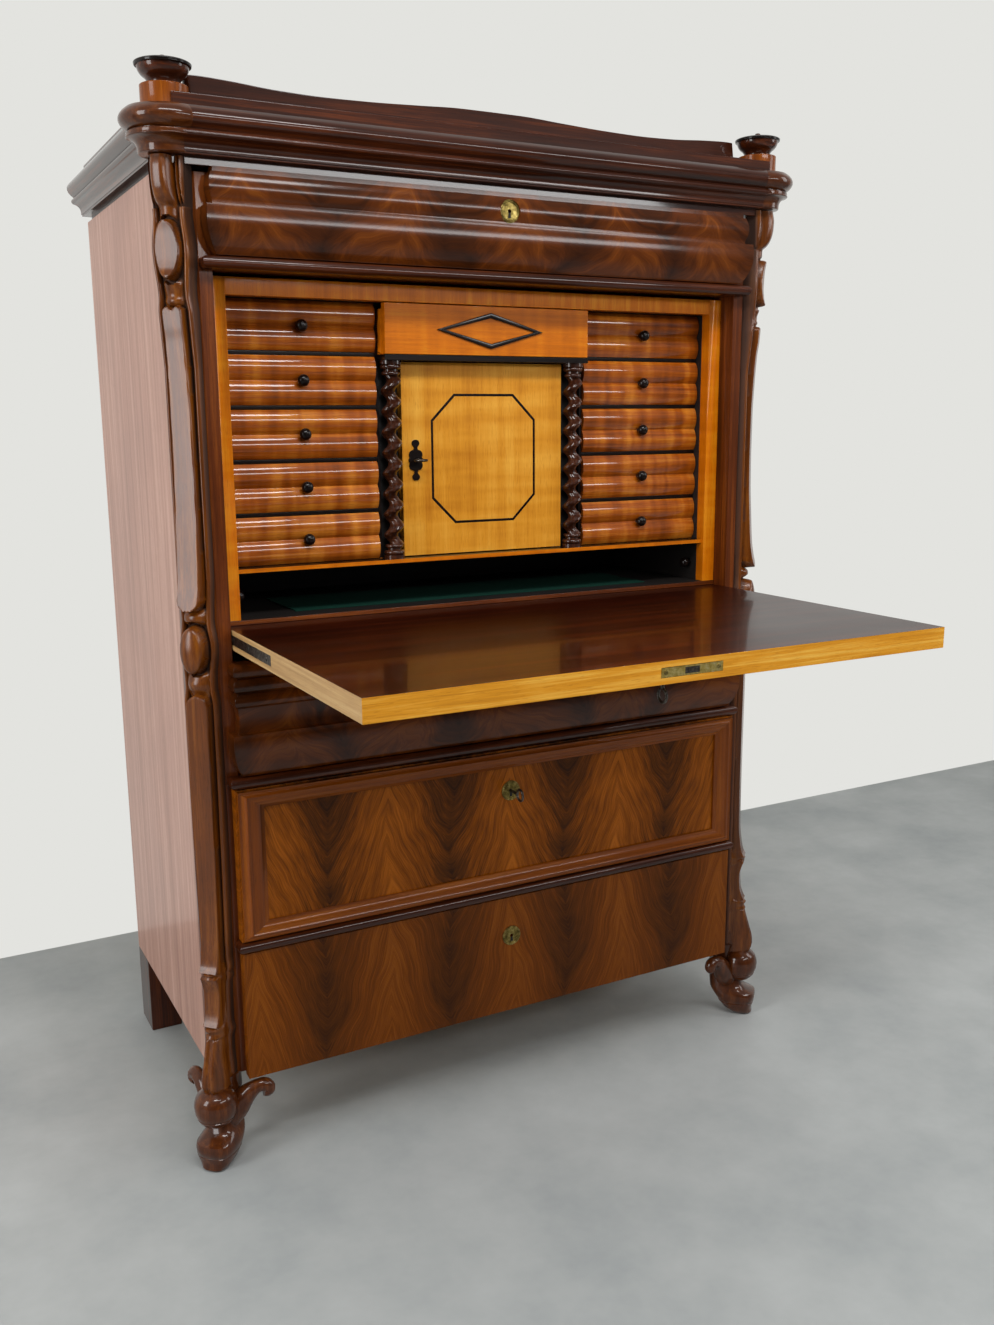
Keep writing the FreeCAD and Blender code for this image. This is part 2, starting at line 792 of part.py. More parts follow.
def key_pieces(name, thickness, reach):
    inside = thickness + s.lock_depth / 2
    stem = rod(name + "Stem", s.key_radius, inside + reach, (0, inside, 0), x_axis, 90)
    bit_y = (inside - s.bit_width / 2, inside + s.bit_width / 2)
    half_bit = s.bow_thickness / 2
    bit = board(name + "Bit", (-half_bit, half_bit), bit_y, (-s.bit_reach, 0))
    bow = doc.addObject("Part::Torus", name + "Bow")
    bind(bow, "Radius1", s.bow_radius)
    bind(bow, "Radius2", s.bow_thickness)
    place(bow, (0, -reach - s.bow_radius, 0), y_axis, 90)
    return fused(name + "Whole", [stem, bit, bow])


def bolt_piece(name, thickness, throw_edge, length):
    half = s.bolt_width / 2 - s.running_gap
    depth = (thickness + s.lock_wall + s.running_gap, thickness + s.lock_depth - s.lock_wall - s.running_gap)
    return board(name + "Bolt", (-half, half), depth, (throw_edge - length, throw_edge))


def lock_recess(name, thickness, base, axis=z_axis, angle=0):
    recess = s.escutcheon_depth - s.escutcheon_rim
    seat = rod(name + "Recess", s.escutcheon_radius, recess + s.cut_overrun, (0, recess, 0), x_axis, 90)
    bore_length = thickness + 2 * s.cut_overrun
    bore = rod(name + "Keyhole", s.keyhole_radius, bore_length, (0, thickness + s.cut_overrun, 0),
               x_axis, 90)
    return place(group(name + "Cuts", [seat, bore]), base, axis, angle)


# Long drawers
front_back = front + s.stile_setback - s.slide_gap
front_thickness = s.stile_setback - s.slide_gap
drawer_half = half_opening - s.side_gap


def drawer_box(name, low, high):
    wall = s.lining_thickness
    back = back_face - s.drawer_back_gap
    side = board(name + "Side", (-drawer_half, wall - drawer_half), (front_back, back), (low, high))
    inner = drawer_half - wall
    rear = board(name + "Rear", (-inner, inner), (back - wall, back), (low + s.bottom_lift, high))
    base_z = (low + s.bottom_lift - s.bottom_thickness, low + s.bottom_lift)
    base = board(name + "Base", (-inner, inner), (front_back, back), base_z)
    return group(name + "Box", [pair(name + "Sides", side), rear, base])


frieze_shares = [
    (0, 0, 0.10), (1.0, 0.53, 0), (1.0, 0.56, 0), (0.30, 0.56, 0), (0.30, 0.62, 0.12), (0.30, 0.94, 0),
    (0.10, 0.94, 0), (0.10, 1.0, 0),
]
moulded_shares = [
    (0, 0, 0.10), (1.0, 0.365, 0), (1.0, 0.39, 0), (0.35, 0.39, -0.06), (0.35, 0.615, 0.30), (0.35, 0.72, 0),
    (0.20, 0.74, 0.35), (0.20, 0.87, 0.35), (0.20, 1.0, 0),
]
frieze_lock_share = 0.76
framed_lock_share = 0.705
plain_lock_share = 0.665
roll_share = 0.30


def make_frieze_drawer():
    half = half_front - s.moulding_projection
    profile = scaled(frieze_shares, s.moulding_projection, s.frieze_height)
    face = mitred("FriezeFace", half, front, front_thickness, frieze_low, profile, s.moulding_projection)
    lock_z = frieze_low + s.frieze_height * frieze_lock_share
    lock_y = front - s.moulding_projection * roll_share
    deep = front_thickness + s.moulding_projection * roll_share
    base = (0, lock_y, lock_z)
    keep("frieze_drawer_front", carved("FriezeFront", face, [lock_recess("FriezeLock", deep, base)]))
    keep("frieze_drawer_box", drawer_box("Frieze", top_rail + s.rail_height + s.slide_gap,
                                         frieze_high - s.head_room))
    lock = group("FriezeLockSet", lock_pieces("FriezeLock", deep, frieze_high - lock_z, False))
    keep("frieze_drawer_lock", place(lock, base))


def make_moulded_drawer():
    half = half_front - s.moulding_projection
    profile = scaled(moulded_shares, s.moulding_projection, s.moulded_height)
    face = mitred("MouldedFace", half, front, front_thickness, moulded_low, profile, s.moulding_projection)
    keep("moulded_drawer_front", face)
    keep("moulded_drawer_box", drawer_box("Moulded", mid_rail + s.rail_height + s.slide_gap,
                                          moulded_high - s.head_room))


def make_framed_drawer():
    lock_z = framed_low + s.framed_height * framed_lock_share
    base = (0, front, lock_z)
    slab = board("FramedSlab", (-half_front, half_front), (front, front_back), (framed_low, framed_high))
    keep("framed_drawer_front",
         carved("FramedFront", slab, [lock_recess("FramedLock", front_thickness, base)]))
    outer_x = half_front - s.frame_margin
    low = framed_low + s.frame_margin
    high = framed_high - s.frame_margin
    bars = frame_bars(outer_x, low, high)
    keep("framed_drawer_moulding", group("FrameMoulding", bars))
    keep("framed_drawer_box", drawer_box("Framed", low_rail + s.rail_height + s.slide_gap,
                                         mid_rail - s.head_room))
    edge = framed_high - lock_z
    lock = group("FramedLockSet", lock_pieces("FramedLock", front_thickness, edge, True))
    keep("framed_drawer_lock", place(lock, base))
    bolt = group("FramedBolt", [bolt_piece("Framed", front_thickness, edge, s.bolt_length)])
    keep("framed_drawer_bolt", place(bolt, base))
    key = group("FramedKey", [key_pieces("FramedKey", front_thickness, s.key_reach)])
    keep("framed_drawer_key", place(key, base))


frame_shares = [(0, 0, 0), (0, 0.55, 0.22), (0.30, 1.0, 0), (0.42, 0.80, -0.1), (0.84, 0.40, 0),
                (1.0, 0.40, 0),
                (1.0, 0, 0)]


def frame_bars(outer_x, low, high):
    inner_x = outer_x - s.frame_stile
    rise = high - low
    depth = s.frame_thickness
    miters = [(-outer_x, 0, 0), (outer_x, 0, 0), (inner_x, s.frame_member, 0), (-inner_x, s.frame_member, 0)]
    rail_profile = [(-depth * out, s.frame_member * across, bulge) for across, out, bulge in frame_shares]
    low_run = padded("LowBarRun", "YZ_Plane", rail_profile, 2 * outer_x, (-outer_x, front, low))
    low_ends = padded("LowBarEnds", "XZ_Plane", miters, depth, (0, front, low))
    high_profile = [(y, -z, -bulge) for y, z, bulge in rail_profile]
    high_run = padded("HighBarRun", "YZ_Plane", high_profile, 2 * outer_x, (-outer_x, front, high))
    high_miters = [(x, -z, 0) for x, z, bulge in miters]
    high_ends = padded("HighBarEnds", "XZ_Plane", high_miters, depth, (0, front, high))
    stile_profile = [(s.frame_stile * across, -depth * out, -bulge) for across, out, bulge in frame_shares]
    side_run = padded("SideBarRun", "XY_Plane", stile_profile, rise, (-outer_x, front, low))
    side_miters = [(0, 0, 0), (s.frame_stile, s.frame_member, 0), (s.frame_stile, rise - s.frame_member, 0),
                   (0, rise, 0)]
    side_ends = padded("SideBarEnds", "XZ_Plane", side_miters, depth, (-outer_x, front, low))
    return [
        common("LowBar", low_run, low_ends),
        common("HighBar", high_run, high_ends),
        pair("SideBars", common("SideBar", side_run, side_ends)),
    ]


def make_plain_drawer():
    lock_z = plain_low + s.plain_height * plain_lock_share
    base = (0, front, lock_z)
    slab = board("PlainSlab", (-half_front, half_front), (front, front_back), (plain_low, plain_high))
    keep("plain_drawer_front", carved("PlainFront", slab, [lock_recess("PlainLock", front_thickness, base)]))
    keep("plain_drawer_box", drawer_box("Plain", case_low + s.board_thickness + s.slide_gap,
                                        low_rail - s.head_room))
    lock = group("PlainLockSet", lock_pieces("PlainLock", front_thickness, plain_high - lock_z, False))
    keep("plain_drawer_lock", place(lock, base))


# Fall
fall_half = half_opening - s.drawer_gap
fall_edge = front - fall_reach
fall_rear = pivot_y + s.fall_tail
lock_inset = (s.fall_thickness - s.lock_depth) / 2
fall_lock_base = (0, fall_edge + s.fall_backset, fall_low)


def fall_board_cuts():
    low = pivot_z - s.pivot_width / 2
    high = pivot_z + s.pivot_width / 2
    plate = board("PlateSeat", (-fall_half - s.cut_overrun, s.pivot_plate - fall_half),
                  (fall_rear - s.pivot_length, fall_rear + s.cut_overrun), (low, high))
    half = s.lock_width / 2 + s.seat_gap
    mortise = board("LockMortise", (-half, half),
                    (fall_edge - s.cut_overrun, fall_edge + s.fall_backset + s.lock_below + s.seat_gap),
                    (fall_low + lock_inset - s.seat_gap, fall_low + lock_inset + s.lock_depth + s.seat_gap))
    half_plate = s.lock_plate_width / 2 + s.seat_gap
    seat = board("LockPlateSeat", (-half_plate, half_plate),
                 (fall_edge - s.cut_overrun, fall_edge + s.lock_plate),
                 (fall_low + lock_inset - s.seat_gap, fall_low + lock_inset + s.lock_depth + s.seat_gap))
    keyhole = lock_recess("FallLock", lock_inset, fall_lock_base, x_axis, 90)
    return [plate, mirrored("PlateSeatRight", plate), mortise, seat, keyhole]


def make_fall():
    blank = board("FallBlank", (-fall_half, fall_half), (fall_edge, fall_rear), (fall_low, fall_high))
    keep("fall_board", carved("FallBoard", blank, fall_board_cuts()))
    low = pivot_z - s.pivot_width / 2
    high = pivot_z + s.pivot_width / 2
    strap = board("PivotStrap", (-fall_half, s.pivot_plate - fall_half),
                  (fall_rear - s.pivot_length, fall_rear),
                  (low, high))
    pin_length = half_opening + s.pivot_reach - s.seat_gap - fall_half + s.pivot_plate
    pin = rod("PivotPin", s.pivot_radius, pin_length,
              (s.seat_gap - half_opening - s.pivot_reach, pivot_y, pivot_z),
              y_axis, 90)
    keep("fall_pivots", pair("FallPivots", fused("FallPivot", [strap, pin])))
    socket = board("SocketPlate", (-half_opening - s.pivot_plate, -half_opening),
                   (socket_front, socket_front + s.socket_length), (low, high))
    hole = rod("SocketHole", s.pivot_radius + s.running_gap, 2 * s.cut_overrun,
               (-half_opening - s.cut_overrun, pivot_y, pivot_z), y_axis, 90)
    keep("pivot_sockets", pair("PivotSockets", carved("PivotSocket", socket, [hole])))


def make_fall_lock():
    edge = s.fall_backset
    pieces = lock_pieces("FallLock", lock_inset, edge, True)
    half_plate = s.lock_plate_width / 2
    plate = board("FallLockPlate", (-half_plate, half_plate), (lock_inset, lock_inset + s.lock_depth),
                  (edge - s.lock_plate, edge))
    slot_half = s.bolt_width / 2 + s.seat_gap
    slot = board("FallPlateSlot", (-slot_half, slot_half),
                 (lock_inset + s.lock_wall - s.seat_gap / 2,
                  lock_inset + s.lock_depth - s.lock_wall + s.seat_gap / 2),
                 (edge - s.lock_plate - s.cut_overrun, edge + s.cut_overrun))
    lock = group("FallLockSet", pieces + [carved("FallLockPlateSlotted", plate, [slot])])
    keep("fall_lock", place(lock, fall_lock_base, x_axis, 90))
    bolt = group("FallBolt", [bolt_piece("Fall", lock_inset, edge, s.bolt_length)])
    keep("fall_bolt", place(bolt, fall_lock_base, x_axis, 90))
    key = group("FallKey", [key_pieces("FallKey", lock_inset, s.key_reach)])
    keep("fall_key", place(key, fall_lock_base, x_axis, 90))


# Bed of the writing compartment
def make_bed():
    lip_low = fall_high + s.seat_gap
    tail_room = fall_rear + s.cut_overrun
    lip = board("BedLip", (-nest_half, nest_half), (nest_face - s.drawer_gap, frame_back),
                (lip_low, bed_high))
    slab = board("BedSlab", (-nest_half, nest_half), (frame_back, back_face),
                 (bed_high - s.bed_thickness, bed_high))
    under = board("BedUnder", (-nest_half, nest_half), (tail_room, frame_back),
                  (bed_high - s.bed_thickness, bed_high))
    bearer = board("BedBearer", (-inner_side, -nest_half), (post_back, back_face),
                   (bed_high - s.bed_thickness, bed_high))
    keep("bed_board", fused("BedBoard", [lip, slab, under, bearer, mirrored("BedBearerRight", bearer)]))
    half = s.baize_width / 2
    baize_front = frame_back + s.nest_frame_depth
    keep("bed_baize", board("Baize", (-half, half), (baize_front, baize_front + s.baize_depth),
                            (bed_high, bed_high + s.baize_thickness)))


# A turned knob: a round foot, a neck and a ball with a small flat tip
knob_foot_share = 0.70
knob_shares = [(0, 0, 0), (knob_foot_share, 0, 0), (knob_foot_share, 0.05, 0), (0.40, 0.14, 0),
               (0.40, 0.18, 0.44),
               (0.20, 1.0, 0), (0, 1.0, 0)]


def knob(name, base, axis=x_axis, angle=90):
    return turned(name, scaled(knob_shares, s.knob_radius, s.knob_reach), base, axis, angle)


def make_bed_knobs():
    y = frame_back + s.nest_frame_depth
    left = knob("BedKnob", (-nest_inner, y, bed_high + s.bed_knob_height), y_axis, 90)
    keep("bed_knobs", pair("BedKnobs", left))


# Nest of drawers
def make_nest_frame():
    deep = (nest_face, frame_back)
    stile = board("NestStile", (-nest_half, -nest_inner), deep, (bed_high, nest_high))
    rail = board("NestRail", (-nest_inner, nest_inner), deep, (nest_ceiling, nest_high))
    keep("nest_face_frame", group("NestFrame", [pair("NestStiles", stile), rail]))


def make_nest_case():
    deep = (frame_back, nest_back)
    wall = board("NestWall", (-nest_inner - s.nest_wall, -nest_inner), deep,
                 (bed_high, nest_ceiling + s.nest_wall))
    roof = board("NestRoof", (-nest_inner, nest_inner), deep, (nest_ceiling, nest_ceiling + s.nest_wall))
    rear = board("NestRear", (-nest_inner - s.nest_wall, nest_inner + s.nest_wall),
                 (nest_back, nest_back + s.shelf_thickness), (bed_high, nest_ceiling + s.nest_wall))
    strip_y = nest_face + s.strip_setback
    strip = board("NestStrip", (-bay_half, -door_half - s.door_gap), (strip_y, strip_y + s.strip_thickness),
                  (shelf_high, bay_shelf))
    pieces = [pair("NestWalls", wall), roof, rear, pair("NestStrips", strip)]
    keep("nest_case", group("NestCase", pieces))


def make_nest_dividers():
    hinge_x, hinge_y = door_axis
    lead = small_face - s.bay_drawer_lead
    shelf = board("NestShelfBlank", (-nest_inner, nest_inner), (lead, nest_back), (shelf_low, shelf_high))
    bore = s.hinge_radius + s.running_gap
    low_bore = rod("LowHingeBore", bore, s.hinge_seat + s.cut_overrun,
                   (hinge_x, hinge_y, shelf_high - s.hinge_seat - s.seat_gap))
    pieces = [carved("NestShelf", shelf, [low_bore])]
    upper = board("BayShelfBlank", (-bay_half, bay_half), (lead, nest_back),
                  (bay_shelf, bay_shelf + s.bay_shelf_thickness))
    high_bore = rod("HighHingeBore", bore, s.hinge_seat + s.cut_overrun,
                    (hinge_x, hinge_y, bay_shelf + s.seat_gap - s.cut_overrun))
    pieces.append(carved("BayShelf", upper, [high_bore]))
    side = board("Partition", (-bay_half - s.divider_thickness, -bay_half), (small_face, nest_back),
                 (shelf_high, nest_ceiling))
    pieces.append(pair("Partitions", side))
    for row in range(1, small_rows):
        low = shelf_high + row * small_pitch - s.divider_thickness
        divider = board("Divider%d" % row, (-nest_inner, -bay_half - s.divider_thickness),
                        (small_face, nest_back), (low, low + s.divider_thickness))
        pieces.append(pair("Dividers%d" % row, divider))
    keep("nest_dividers", group("NestDividers", pieces))


small_rows = 5
small_pitch = (nest_ceiling - shelf_high + s.divider_thickness) / small_rows
small_height = small_pitch - s.divider_thickness
roll_bulge_share = 0.18


def small_front_outline(height):
    half = height / 2
    return [(s.small_front, 0, 0), (s.small_front, height, 0), (0, height, roll_bulge_share),
            (0, half, roll_bulge_share), (0, 0, 0)]


def small_drawer(name, left, low):
    gap = s.small_gap
    width = nest_inner - bay_half - s.divider_thickness - 2 * gap
    height = small_height - 2 * gap
    x = left + gap
    z = low + gap
    front_piece = padded(name + "Front", "YZ_Plane", small_front_outline(height), width, (x, small_face, z))
    knob_base = (x + width / 2, small_face, z + height / 2)
    knob_seat = rod(name + "KnobSeat", knob_foot_share * s.knob_radius + s.seat_gap, s.small_front,
                    knob_base,
                    x_axis, 90)
    back = small_back + s.small_depth
    lining = s.small_lining
    high = z + height - s.bottom_lift
    pieces = [carved(name + "FrontBored", front_piece, [knob_seat])]
    for side, start in (("Left", x), ("Right", x + width - lining)):
        pieces.append(board(name + side, (start, start + lining), (small_back, back), (z, high)))
    inner = (x + lining, x + width - lining)
    pieces.append(board(name + "Rear", inner, (back - lining, back), (z, high)))
    pieces.append(board(name + "Base", inner, (small_back, back - lining), (z, z + lining)))
    pieces.append(knob(name + "Knob", knob_base))
    return group(name, pieces)


def make_small_drawers():
    starts = {"left": -nest_inner, "right": bay_half + s.divider_thickness}
    for side, start in starts.items():
        for row in range(small_rows):
            low = shelf_high + row * small_pitch
            keep("small_drawer_%s_%d" % (side, row + 1), small_drawer("Small%s%d" % (side, row), start, low))


def make_bay_drawer():
    gap = s.small_gap
    low = bay_shelf + s.bay_shelf_thickness + gap
    high = nest_ceiling - gap
    face = small_face - s.bay_drawer_lead
    half = bay_half - gap
    lining = s.small_lining
    back = small_back + s.small_depth
    inner = half - lining
    pieces = [board("BayFront", (-half, half), (face, face + s.small_front), (low, high))]
    side = board("BaySide", (-half, lining - half), (face + s.small_front, back),
                 (low, high - s.bottom_lift))
    pieces.append(pair("BaySides", side))
    pieces.append(board("BayRear", (-inner, inner), (back - lining, back), (low, high - s.bottom_lift)))
    pieces.append(board("BayBase", (-inner, inner), (face + s.small_front, back - lining),
                        (low, low + lining)))
    keep("centre_drawer", group("CentreDrawer", pieces))
    middle = (low + high) / 2
    lozenge = diamond("Lozenge", s.lozenge_width, s.lozenge_height, face, middle, s.lozenge_rise)
    hole = diamond("LozengeHole", s.lozenge_width - 4 * s.lozenge_bar, s.lozenge_height - 2 * s.lozenge_bar,
                   face + s.cut_overrun, middle, s.lozenge_rise + 2 * s.cut_overrun)
    keep("lozenge_moulding", carved("LozengeMoulding", lozenge, [hole]))


def diamond(name, width, height, y, z, rise):
    outline = [(width / 2, 0, 0), (0, height / 2, 0), (-width / 2, 0, 0), (0, -height / 2, 0)]
    return padded(name, "XZ_Plane", outline, rise, (0, y, z))


# Door of the nest
door_low = shelf_high + s.door_gap
door_high = bay_shelf - s.door_gap
door_middle = (door_low + door_high) / 2
door_axis = (door_half - s.hinge_inset, door_face + s.hinge_inset)
door_lock_base = (s.door_backset - door_half, door_face, door_middle)


def octagon(name, shrink, y, depth):
    half = s.octagon_width / 2 - shrink
    tall = s.octagon_height / 2 - shrink
    cut = s.octagon_chamfer - shrink / 2
    right = [(half - cut, -tall, 0), (half, cut - tall, 0), (half, tall - cut, 0), (half - cut, tall, 0)]
    return padded(name, "XZ_Plane", both_sides(right), depth, (0, y, door_middle))


def octagon_string(name):
    back = door_face + s.string_depth
    outer = octagon(name + "Outer", 0, back, s.string_depth)
    inner = octagon(name + "Inner", s.string_width, back + s.cut_overrun, s.string_depth + 2 * s.cut_overrun)
    return carved(name, outer, [inner])


def make_door():
    slab = board("DoorSlab", (-door_half, door_half), (door_face, door_face + s.door_thickness),
                 (door_low, door_high))
    x, y, z = door_lock_base
    keyhole = rod("DoorKeyhole", s.keyhole_radius, s.door_thickness + 2 * s.cut_overrun,
                  (x, y + s.door_thickness + s.cut_overrun, z), x_axis, 90)
    groove = octagon_string("DoorGroove")
    pin_seats = []
    pins = []
    for name, start in (("Low", door_low - s.hinge_seat),
                        ("High", door_high + s.hinge_seat - s.hinge_length)):
        seat = rod(name + "PinSeat", s.hinge_radius, s.hinge_length, (door_axis[0], door_axis[1], start))
        pin_seats.append(seat)
        pins.append(rod(name + "HingePin", s.hinge_radius, s.hinge_length,
                        (door_axis[0], door_axis[1], start)))
    keep("nest_door", carved("NestDoor", slab, [keyhole, groove] + pin_seats))
    keep("nest_door_hinge_pins", group("DoorPins", pins))
    keep("nest_door_stringing", octagon_string("DoorString"))


def make_door_lock():
    edge = s.door_backset
    pieces = lock_pieces("DoorLock", s.door_thickness, edge + s.lock_plate, True)
    keep("nest_door_lock", place(group("DoorLockSet", pieces[1:]), door_lock_base, y_axis, -90))
    bolt = group("DoorBolt", [bolt_piece("Door", s.door_thickness, edge, s.door_bolt_length)])
    keep("nest_door_bolt", place(bolt, door_lock_base, y_axis, -90))
    key = group("DoorKey", [key_pieces("DoorKey", s.door_thickness, s.door_key_reach)])
    keep("nest_door_key", place(key, door_lock_base, y_axis, -90))
    half = s.leaf_width / 2
    tall = s.leaf_height / 2
    leaf_shares = [(0.16, -1.0, 0.3), (0.5, -0.72, -0.25), (0.42, -0.5, 0.3), (1.0, -0.12, 0.3),
                   (1.0, 0.12, 0.3),
                   (0.42, 0.5, -0.25), (0.5, 0.72, 0.3), (0.16, 1.0, 0)]
    outline = both_sides([(half * x, tall * z, bulge) for x, z, bulge in leaf_shares])
    leaf = padded("DoorLeaf", "XZ_Plane", outline, s.leaf_thickness, door_lock_base)
    eye = rod("LeafEye", s.keyhole_radius, s.leaf_thickness + 2 * s.cut_overrun,
              (door_lock_base[0], door_face + s.cut_overrun, door_lock_base[2]), x_axis, 90)
    keep("nest_door_escutcheon", carved("DoorEscutcheon", leaf, [eye]))


# Barley-twist columns: a round strand whose centre winds about the column's axis
sections_per_turn = 8


def twist_column(name, x, hand):
    low = shelf_high.number + s.column_block.number
    high = bay_shelf.number - s.column_block.number
    throw = s.column_throw.number
    turns = (high - low) / s.column_pitch.number
    count = int(turns * sections_per_turn)
    centre_y = nest_face + s.column_setback
    y = centre_y.number
    rings = []
    for index in range(count + 1):
        angle = hand * 2 * math.pi * turns * index / count
        centre = FreeCAD.Vector(x.number + throw * math.cos(angle), y + throw * math.sin(angle),
                                low + (high - low) * index / count)
        rings.append(Part.Wire(Part.makeCircle(s.column_radius.number, centre)))
    strand = Part.makeLoft(rings, True, True)
    shaft = doc.addObject("Part::Feature", name + "Strand")
    shaft.Shape = strand
    ring = s.column_radius + s.column_throw
    block_shares = [(0, 0, 0), (1.0, 0, 0), (1.0, 0.25, 0), (0.82, 0.25, 0.36), (0.82, 0.60, 0),
                    (0.66, 0.60, 0),
                    (0.66, 0.74, 0), (0.74, 0.74, 0.36), (0.74, 1.0, 0), (0, 1.0, 0)]
    profile = scaled(block_shares, ring, s.column_block)
    base = turned(name + "Base", profile, (x, centre_y, shelf_high))
    head = turned(name + "Head", profile, (x, centre_y, bay_shelf), x_axis, 180)
    return fused(name, [shaft, base, head])


def make_columns():
    columns = [twist_column("LeftColumn", -column_x, 1), twist_column("RightColumn", column_x, 1)]
    keep("twist_columns", group("TwistColumns", columns))


def build():
    make_sides()
    make_posts()
    make_case_boards()
    make_rails()
    make_runners()
    make_cornice()
    make_blocking()
    make_gallery()
    make_capitals()
    make_pilasters()
    make_front_feet()
    make_rear_feet()
    make_frieze_drawer()
    make_moulded_drawer()
    make_framed_drawer()
    make_plain_drawer()
    make_fall()
    make_fall_lock()
    make_bed()
    make_bed_knobs()
    make_nest_frame()
    make_nest_case()
    make_nest_dividers()
    make_small_drawers()
    make_bay_drawer()
    make_door()
    make_door_lock()
    make_columns()
    doc.recompute()


def check():
    for piece in doc.Objects:
        if "Invalid" in piece.State or "Error" in piece.State:
            raise RuntimeError("%s did not build: %s" % (piece.Label, piece.State))
    for piece in nodes:
        if piece.Shape.isNull() or not piece.Shape.isValid() or not piece.Shape.Solids:
            raise RuntimeError("%s has no valid solid" % piece.Label)


def write():
    os.makedirs("parts", exist_ok=True)
    for piece in nodes:
        piece.Shape.exportStep("parts/%s.step" % piece.Label)


build()
check()
write()
print("%d nodes" % len(nodes))
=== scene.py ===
import json
import math
import bpy
from mathutils import Matrix, Vector

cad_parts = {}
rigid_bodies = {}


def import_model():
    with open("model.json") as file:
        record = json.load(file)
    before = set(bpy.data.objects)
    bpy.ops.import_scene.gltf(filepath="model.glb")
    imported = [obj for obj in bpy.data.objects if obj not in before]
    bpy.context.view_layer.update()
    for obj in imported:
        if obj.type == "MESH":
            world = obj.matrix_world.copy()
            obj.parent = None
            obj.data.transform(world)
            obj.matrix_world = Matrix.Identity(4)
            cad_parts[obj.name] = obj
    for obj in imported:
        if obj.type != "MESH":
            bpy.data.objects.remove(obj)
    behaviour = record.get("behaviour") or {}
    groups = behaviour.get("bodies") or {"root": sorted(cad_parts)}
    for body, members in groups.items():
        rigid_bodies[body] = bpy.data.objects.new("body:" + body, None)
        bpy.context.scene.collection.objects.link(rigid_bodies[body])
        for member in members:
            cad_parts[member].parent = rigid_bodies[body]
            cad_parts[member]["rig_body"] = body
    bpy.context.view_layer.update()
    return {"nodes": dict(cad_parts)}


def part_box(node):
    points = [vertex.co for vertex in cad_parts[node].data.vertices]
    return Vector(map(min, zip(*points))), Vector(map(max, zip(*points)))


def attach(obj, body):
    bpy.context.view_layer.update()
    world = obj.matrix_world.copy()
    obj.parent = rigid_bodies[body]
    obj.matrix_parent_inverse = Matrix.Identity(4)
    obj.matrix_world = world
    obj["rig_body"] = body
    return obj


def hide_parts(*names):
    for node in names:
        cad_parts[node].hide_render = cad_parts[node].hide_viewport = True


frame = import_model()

nodes = frame["nodes"]
scene = bpy.context.scene
scene.view_settings.view_transform = "Standard"


def hexColour(text):
    parts = [int(text[i:i + 2], 16) / 255 for i in (0, 2, 4)]  # sRGB hex to linear
    return [p / 12.92 if p <= 0.04045 else ((p + 0.055) / 1.055) ** 2.4 for p in parts] + [1]


def addNode(tree, kind, inputs=None, stops=None, out=0, **settings):
    # one node with its settings and links; gives the socket that goes on
    node = tree.nodes.new(kind)
    for name, value in settings.items():
        setattr(node, name, value)
    for name, value in (inputs or {}).items():
        if isinstance(value, bpy.types.NodeSocket):
            tree.links.new(value, node.inputs[name])
        else:
            node.inputs[name].default_value = value
    if stops:  # colour ramp: (place, hex) pairs
        ramp = node.color_ramp
        while len(ramp.elements) < len(stops):
            ramp.elements.new(0.5)
        for element, (place, colour) in zip(ramp.elements, stops):
            element.position = place
            element.color = hexColour(colour)
    return node.outputs[out]


def newMaterial(name, **constants):
    material = bpy.data.materials.new(name)
    material.use_nodes = True
    tree = material.node_tree
    shader = tree.nodes["Principled BSDF"]
    for socket, value in constants.items():
        shader.inputs[socket.replace("_", " ")].default_value = value
    return material, tree, shader


def connect(tree, shader, colour, shade, bump):
    for source, socket in ((colour, "Base Color"), (shade, "Roughness"), (bump, "Normal")):
        tree.links.new(source, shader.inputs[socket])


# French polish on mahogany: a thin clear shellac coat over a satin, faintly open grain
polish = {"Coat_Weight": 0.4, "Coat_Roughness": 0.08, "Coat_IOR": 1.42, "IOR": 1.5, "Specular_IOR_Level": 0.1}
grainTurn = {"x": (0, 0, 0), "y": (0, 0, math.pi / 2), "z": (0, math.pi / 2, 0)}


